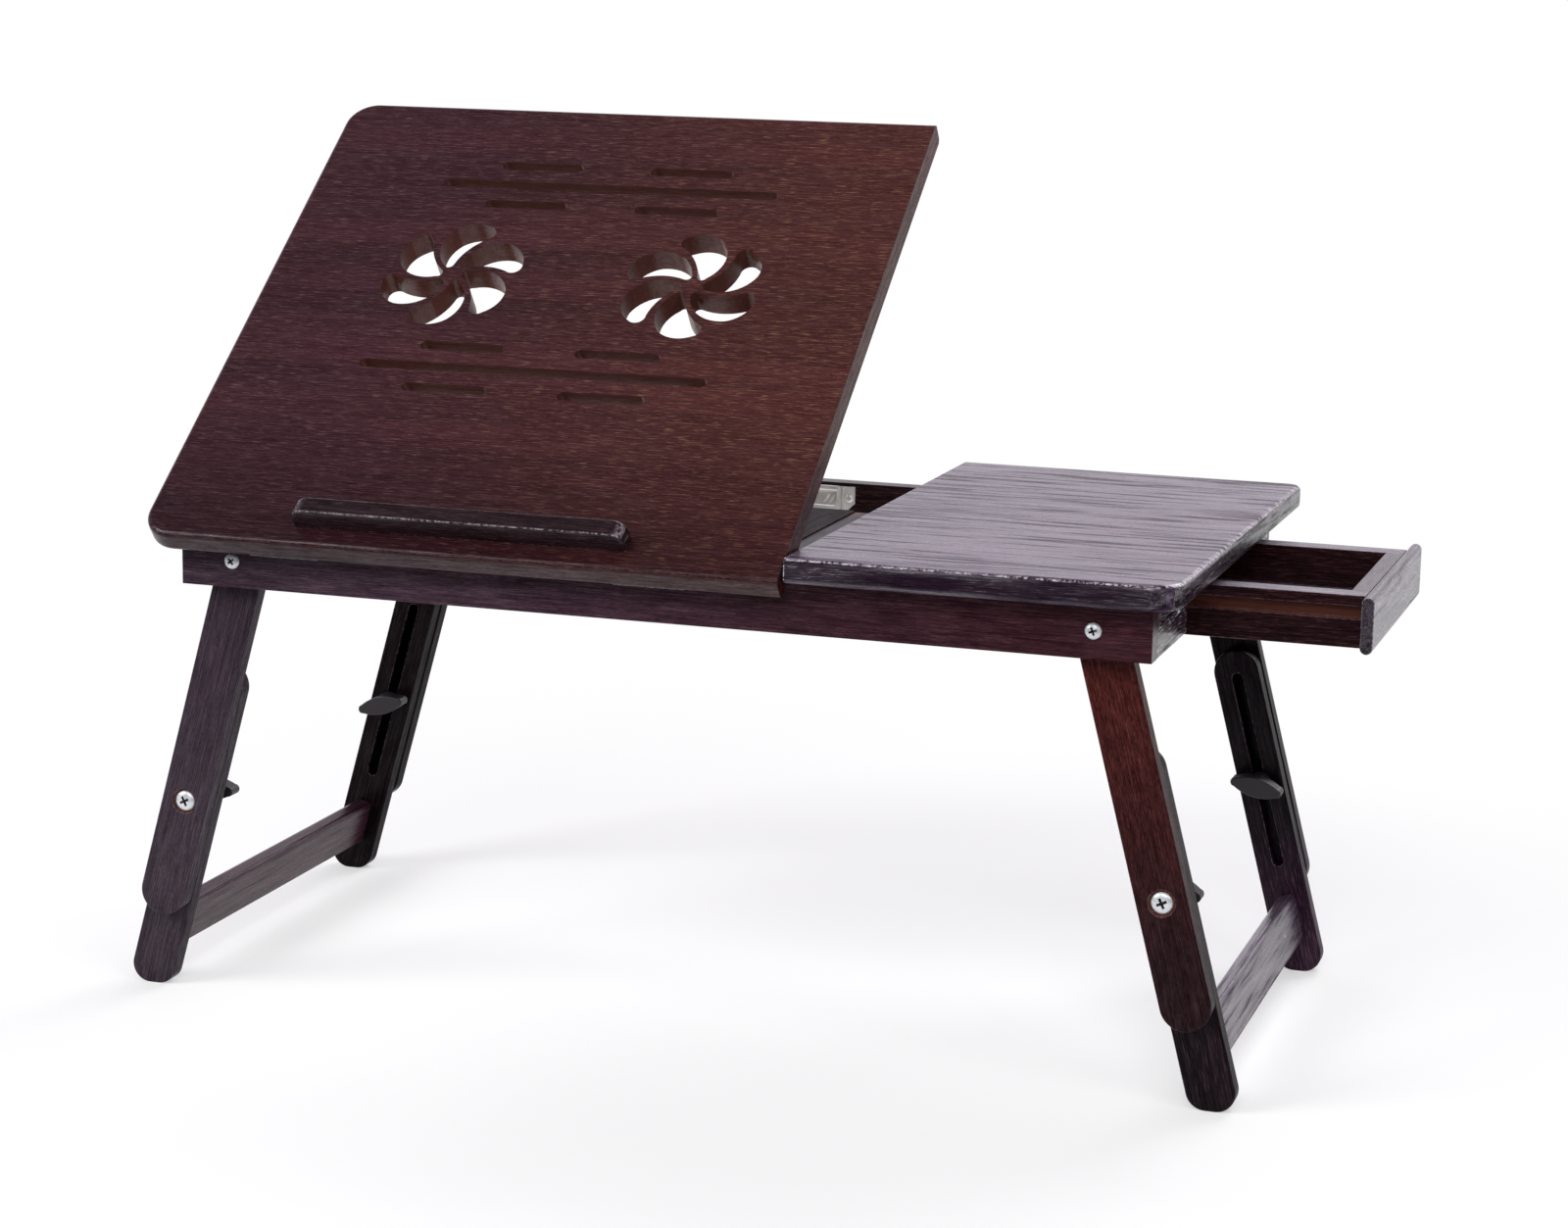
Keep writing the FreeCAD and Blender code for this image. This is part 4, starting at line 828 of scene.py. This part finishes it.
HEAD_PROFILE = [
    (0, 0), (0.94, 0), (1.0, 0.08), (1.0, 0.2), (0.96, 0.42), (0.84, 0.66), (0.62, 0.86),
    (0.34, 0.97), (0, 1.0),
]
HEAD_SIDES = 32
BIT_REACH, BIT_HALF_WIDTH = 0.62, 0.13
BIT_TOP, BIT_BOTTOM = 1.2, 0.2
STEEP_NORMAL = 0.75
FLOOR_OF_RECESS = 0.75
head = lathe("unit_head", HEAD_PROFILE, HEAD_SIDES)
bit = tapered_cross("driver_bit", BIT_REACH, BIT_HALF_WIDTH, BIT_TOP, BIT_BOTTOM)
for made in (head, bit):
    bpy.context.scene.collection.objects.link(made)
recess = head.modifiers.new("recess", "BOOLEAN")
recess.object = bit
recess.operation = "DIFFERENCE"
recess.solver = "EXACT"
recess.use_self = True
bpy.context.view_layer.update()
unit_mesh = bpy.data.meshes.new_from_object(head.evaluated_get(bpy.context.evaluated_depsgraph_get()))
head.modifiers.clear()
head.data = unit_mesh
# Faces inside the cross recess are marked for the painted shade.
recess_mark = unit_mesh.attributes.new("recess", "FLOAT", "FACE")
for face in unit_mesh.polygons:
    radius = math.hypot(face.center.x, face.center.y)
    steep = face.normal.z < STEEP_NORMAL
    sunk_face = steep or face.center.z < FLOOR_OF_RECESS
    above_seat = face.center.z > 0.01
    recess_mark.data[face.index].value = float(radius < BIT_REACH and sunk_face and above_seat)
bpy.data.objects.remove(bit)
bpy.context.scene.collection.objects.unlink(head)
print("unit head:", len(unit_mesh.polygons), "faces")

# %% The tree that stands screws on points
screws, sin_, sout = group_with(
    "screws_on_points",
    "GeometryNodeTree",
    [
        ("Points", "NodeSocketGeometry", None),
        ("Head shape", "NodeSocketObject", None),
        ("Head radius", "NodeSocketFloat", 0.004),
        ("Head height", "NodeSocketFloat", 0.002),
        ("Shank radius", "NodeSocketFloat", 0.0025),
        ("Shank length", "NodeSocketFloat", 0.02),
        ("Metal", "NodeSocketMaterial", None),
    ],
    [("Geometry", "NodeSocketGeometry")],
)
head_geo = add(screws, "GeometryNodeObjectInfo", {"Object": sin_["Head shape"]}).outputs["Geometry"]
head_size = add(
    screws, "ShaderNodeCombineXYZ", {0: sin_["Head radius"], 1: sin_["Head radius"], 2: sin_["Head height"]}
).outputs[0]
sized_head = add(screws, "GeometryNodeTransform", {"Geometry": head_geo, "Scale": head_size}).outputs[0]
shank = add(
    screws,
    "GeometryNodeMeshCylinder",
    {"Vertices": 24, "Radius": sin_["Shank radius"], "Depth": sin_["Shank length"]},
).outputs["Mesh"]
sunk = add(
    screws, "ShaderNodeCombineXYZ", {2: math_of(screws, "MULTIPLY", sin_["Shank length"], -0.5)}
).outputs[0]
low_shank = add(screws, "GeometryNodeTransform", {"Geometry": shank, "Translation": sunk}).outputs[0]
joined = add(screws, "GeometryNodeJoinGeometry")
screws.links.new(sized_head, joined.inputs[0])
screws.links.new(low_shank, joined.inputs[0])
facing = add(
    screws, "GeometryNodeInputNamedAttribute", {"Name": "facing"}, data_type="FLOAT_VECTOR"
).outputs[0]
spin = add(screws, "GeometryNodeInputNamedAttribute", {"Name": "spin"}, data_type="FLOAT").outputs[0]
aimed = add(screws, "FunctionNodeAlignRotationToVector", {"Vector": facing}, axis="Z").outputs[0]
spun = add(
    screws,
    "FunctionNodeAxisAngleToRotation",
    {"Axis": (0, 0, 1), "Angle": spin},
).outputs[0]
both = add(screws, "FunctionNodeRotateRotation", {0: aimed, 1: spun}, rotation_space="LOCAL").outputs[0]
stood = add(
    screws,
    "GeometryNodeInstanceOnPoints",
    {"Points": sin_["Points"], "Instance": joined.outputs[0], "Rotation": both},
).outputs[0]
real = add(screws, "GeometryNodeRealizeInstances", {0: stood}).outputs[0]
painted = add(screws, "GeometryNodeSetMaterial", {"Geometry": real, "Material": sin_["Metal"]}).outputs[0]
screws.links.new(painted, sout["Geometry"])
print("screw tree:", len(screws.nodes), "nodes")

# %% Stand the screws where the CAD screws are
def islands(name):
    """The separate solids of one CAD piece, as (lowest corner, highest corner) pairs."""
    shell = bmesh.new()
    shell.from_mesh(parts[name].data)
    bmesh.ops.remove_doubles(shell, verts=shell.verts, dist=1e-6)
    left = set(shell.verts)
    found = []
    while left:
        stack = [left.pop()]
        reached = list(stack)
        while stack:
            for line in stack.pop().link_edges:
                for other in line.verts:
                    if other in left:
                        left.remove(other)
                        stack.append(other)
                        reached.append(other)
        low = Vector([min(v.co[i] for v in reached) for i in range(3)])
        high = Vector([max(v.co[i] for v in reached) for i in range(3)])
        found.append((low, high))
    shell.free()
    return sorted(found, key=lambda pair: (round(pair[0].x, 4), round(pair[0].y, 4)))


def set_inputs(modifier, tree, values):
    """Fill a modifier's inputs by the names the tree gives them."""
    for item in tree.interface.items_tree:
        if item.in_out == "INPUT" and item.name in values:
            modifier[item.identifier] = values[item.name]


def stand_screws(name, seats, sizes, metal):
    """Screws on seats, each a (place, facing, spin), that replace one CAD piece."""
    mesh = bpy.data.meshes.new(name + "_seats")
    mesh.from_pydata([seat[0] for seat in seats], [], [])
    ways = mesh.attributes.new("facing", "FLOAT_VECTOR", "POINT")
    ways.data.foreach_set("vector", [v for seat in seats for v in seat[1]])
    spins = mesh.attributes.new("spin", "FLOAT", "POINT")
    spins.data.foreach_set("value", [seat[2] for seat in seats])
    holder = bpy.data.objects.new(name + "_seats", mesh)
    bpy.context.scene.collection.objects.link(holder)
    modifier = holder.modifiers.new("screws", "NODES")
    modifier.node_group = screws
    values = dict(zip(("Head radius", "Head height", "Shank radius", "Shank length"), sizes))
    set_inputs(modifier, screws, {**values, "Head shape": head, "Metal": metal})
    bpy.context.view_layer.update()
    result = bpy.data.meshes.new_from_object(holder.evaluated_get(bpy.context.evaluated_depsgraph_get()))
    bpy.data.objects.remove(holder)
    result.name = name + "_steel"
    result.polygons.foreach_set("use_smooth", [True] * len(result.polygons))
    result.set_sharp_from_angle(angle=SMOOTH_ANGLE)
    piece = bpy.data.objects.new(name + "_steel", result)
    bpy.context.scene.collection.objects.link(piece)
    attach(piece, parts[name]["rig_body"])
    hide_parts(name)
    print(name, "->", len(seats), "screws,", len(result.polygons), "faces")
    return piece


def seats_along_y(name, head_height, spins):
    """Seats for screws along Y whose heads face away from the desk's middle."""
    seats = []
    for count, (low, high) in enumerate(islands(name)):
        centre = (low + high) / 2
        front = centre.y < 0
        level = low.y + head_height if front else high.y - head_height
        way = (0, -1, 0) if front else (0, 1, 0)
        seats.append(((centre.x, level, centre.z), way, math.radians(spins[count % len(spins)])))
    return seats


def shank_of(name, head_height):
    """How far the CAD screw reaches beyond its head."""
    low, high = islands(name)[0]
    return high.y - low.y - head_height


HEAD_HIGH = 0.0022
PIVOT_HEAD_RADIUS, PIVOT_SHANK_RADIUS = 0.0042, 0.0025
BOLT_HEAD_RADIUS, BOLT_SHANK_RADIUS = 0.0056, 0.0027
LEAF_HEAD_RADIUS, LEAF_SHANK_RADIUS = 0.0021, 0.0012
LEAF_HEAD_HIGH, LEAF_SHANK_LONG = 0.001, 0.0008
PIVOT_SPINS, BOLT_SPINS, LEAF_SPINS = (38, 12, 20, 55), (25, 60), (15, 70, 40)
stand_screws(
    "leg_pivot_screws",
    seats_along_y("leg_pivot_screws", HEAD_HIGH, PIVOT_SPINS),
    (PIVOT_HEAD_RADIUS, HEAD_HIGH, PIVOT_SHANK_RADIUS, shank_of("leg_pivot_screws", HEAD_HIGH)),
    zinc,
)
for side in ("left", "right"):
    name = side + "_leg_bolts"
    stand_screws(
        name,
        seats_along_y(name, HEAD_HIGH, BOLT_SPINS),
        (BOLT_HEAD_RADIUS, HEAD_HIGH, BOLT_SHANK_RADIUS, shank_of(name, HEAD_HIGH)),
        zinc,
    )
leaf_seats = seats_along_y("rail_leaf_screws", LEAF_HEAD_HIGH, LEAF_SPINS)
stand_screws(
    "rail_leaf_screws",
    [(spot, (0, -1, 0), spin_angle) for spot, _, spin_angle in leaf_seats],
    (LEAF_HEAD_RADIUS, LEAF_HEAD_HIGH, LEAF_SHANK_RADIUS, LEAF_SHANK_LONG),
    zinc,
)

# %% Plain metal pieces keep their CAD shape
for name in (
    "rail_hinge_leaves", "panel_hinge_leaves", "panel_leaf_screws", "panel_hinge_pins", "prop_rod",
    "prop_pivot_pins", "right_stretcher_nail", "hook_pins", "prop_brackets",
):
    parts[name].data.materials.clear()
    parts[name].data.materials.append(zinc)
for name in ("catch_base", "catch_pin", "catch_screw", "catch_flap", "catch_striker"):
    parts[name].data.materials.clear()
    parts[name].data.materials.append(nickel)
KNOB_ROUND = 0.0006
for name in parts:
    if "wing_knob" in name:
        shell = merged(name)
        hard = hard_edges(shell)
        bmesh.ops.bevel(
            shell, geom=hard, offset=KNOB_ROUND, segments=3, profile=0.5, affect="EDGES", clamp_overlap=True
        )
        finished(shell, name + "_moulding", knob_plastic, [name])
print("metal and plastic done")

# %% [markdown]
# ## Floor and light
# The desk stands on a plain white sweep. The floor carries the shadow; the white around it is the
# world seen by the camera. For every other ray the world is a soft studio: bright behind, where
# the sheen on the tray comes from, a little brighter at the left, and dim on the camera's side.
# The floor's stretch on the camera's side is also nearly black for every ray but the camera's.
# Both keep a white haze off the dark front faces.

# %% Floor
DARK_UP_TO, WHITE_FROM, DARK_LEVEL = -0.85, -0.5, 0.04
GLOW_NEAR, GLOW_FAR, GLOW_UNDER_DESK = 0.35, 0.95, 0.42
floor_mesh = bpy.data.meshes.new("floor")
FLOOR_REACH = 6.0
corners = [(FLOOR_REACH * x, FLOOR_REACH * y, 0) for x, y in ((-1, -1), (1, -1), (1, 1), (-1, 1))]
floor_mesh.from_pydata(corners, [], [(0, 1, 2, 3)])
floor = bpy.data.objects.new("floor", floor_mesh)
bpy.context.scene.collection.objects.link(floor)
paper = bpy.data.materials.new("paper_sweep")
paper.use_nodes = True
tree = paper.node_tree
matte = tree.nodes["Principled BSDF"]
ground_spot = add(tree, "ShaderNodeTexCoord").outputs["Object"]
ground = add(tree, "ShaderNodeSeparateXYZ", {0: ground_spot}).outputs
sweep_end = add(
    tree,
    "ShaderNodeMapRange",
    {"Value": ground[1], "From Min": DARK_UP_TO, "From Max": WHITE_FROM, "To Min": DARK_LEVEL, "To Max": 1.0},
    interpolation_type="SMOOTHSTEP",
).outputs[0]
rays = add(tree, "ShaderNodeLightPath").outputs
paper_level = math_of(tree, "MAXIMUM", sweep_end, rays["Is Camera Ray"])
paper_tone = add(tree, "ShaderNodeCombineColor", {0: paper_level, 1: paper_level, 2: paper_level}).outputs[0]
tree.links.new(paper_tone, matte.inputs["Base Color"])
matte.inputs["Roughness"].default_value = 0.9
matte.inputs["Specular IOR Level"].default_value = 0.1
seen = math_of(tree, "MAXIMUM", rays["Is Camera Ray"], rays["Is Glossy Ray"])
away = add(tree, "ShaderNodeVectorMath", {0: ground_spot}, operation="LENGTH").outputs["Value"]
own_light = add(
    tree,
    "ShaderNodeMapRange",
    {"Value": away, "From Min": GLOW_NEAR, "From Max": GLOW_FAR, "To Min": GLOW_UNDER_DESK, "To Max": 1.0},
    interpolation_type="SMOOTHSTEP",
).outputs[0]
glow = add(tree, "ShaderNodeEmission", {"Color": paper_tone, "Strength": 1.0}).outputs[0]
blend = add(
    tree, "ShaderNodeMixShader", {0: math_of(tree, "MULTIPLY", seen, own_light), 1: matte.outputs[0], 2: glow}
).outputs[0]
tree.links.new(blend, tree.nodes["Material Output"].inputs["Surface"])
floor_mesh.materials.append(paper)
print("floor laid")

# %% World
BEHIND_LIGHT, LEFT_LIGHT, LIGHT_ALL_ROUND = 0.86, 0.35, 0.14
world = bpy.data.worlds.new("studio")
bpy.context.scene.world = world
world.use_nodes = True
tree = world.node_tree
tree.nodes.clear()
direction = add(tree, "ShaderNodeTexCoord").outputs["Generated"]
way = add(tree, "ShaderNodeSeparateXYZ", {0: direction}).outputs
behind = add(
    tree,
    "ShaderNodeMapRange",
    {"Value": way[1], "From Min": 0.25, "From Max": 0.75, "To Min": 0.0, "To Max": BEHIND_LIGHT},
    interpolation_type="SMOOTHSTEP",
).outputs[0]
left_side = add(
    tree,
    "ShaderNodeMapRange",
    {"Value": way[0], "From Min": -0.2, "From Max": -0.9, "To Min": 0.0, "To Max": LEFT_LIGHT},
    interpolation_type="SMOOTHSTEP",
).outputs[0]
level = math_of(tree, "ADD", math_of(tree, "ADD", behind, left_side), LIGHT_ALL_ROUND)
studio = add(tree, "ShaderNodeBackground", {"Color": (1.0, 0.94, 1.03, 1), "Strength": level}).outputs[0]
white = add(tree, "ShaderNodeBackground", {"Color": (1, 1, 1, 1), "Strength": 1.0}).outputs[0]
rays = add(tree, "ShaderNodeLightPath").outputs
shown = add(tree, "ShaderNodeMixShader", {0: rays["Is Camera Ray"], 1: studio, 2: white}).outputs[0]
tree.links.new(shown, add(tree, "ShaderNodeOutputWorld").inputs["Surface"])
print("world set")


# %% Lamps
def softbox(name, spot, target, size, watts):
    """A square lamp at a spot, turned towards its target."""
    lamp = bpy.data.lights.new(name, "AREA")
    lamp.shape = "SQUARE"
    lamp.size = size
    lamp.energy = watts
    holder = bpy.data.objects.new(name, lamp)
    bpy.context.scene.collection.objects.link(holder)
    holder.location = spot
    holder.rotation_euler = (Vector(target) - Vector(spot)).to_track_quat("-Z", "Y").to_euler()
    return holder


DESK_MIDDLE = (0, 0, 0.2)
BOX_SIZE = 1.6
softbox("left_box", (-2.3, -2.1, 2.0), DESK_MIDDLE, BOX_SIZE, 64)
softbox("front_box", (0.5, -2.9, 2.2), DESK_MIDDLE, BOX_SIZE, 42)
softbox("right_box", (2.3, -1.6, 1.8), DESK_MIDDLE, BOX_SIZE, 24)
softbox("back_box", (0.7, 2.2, 2.2), DESK_MIDDLE, BOX_SIZE, 40)
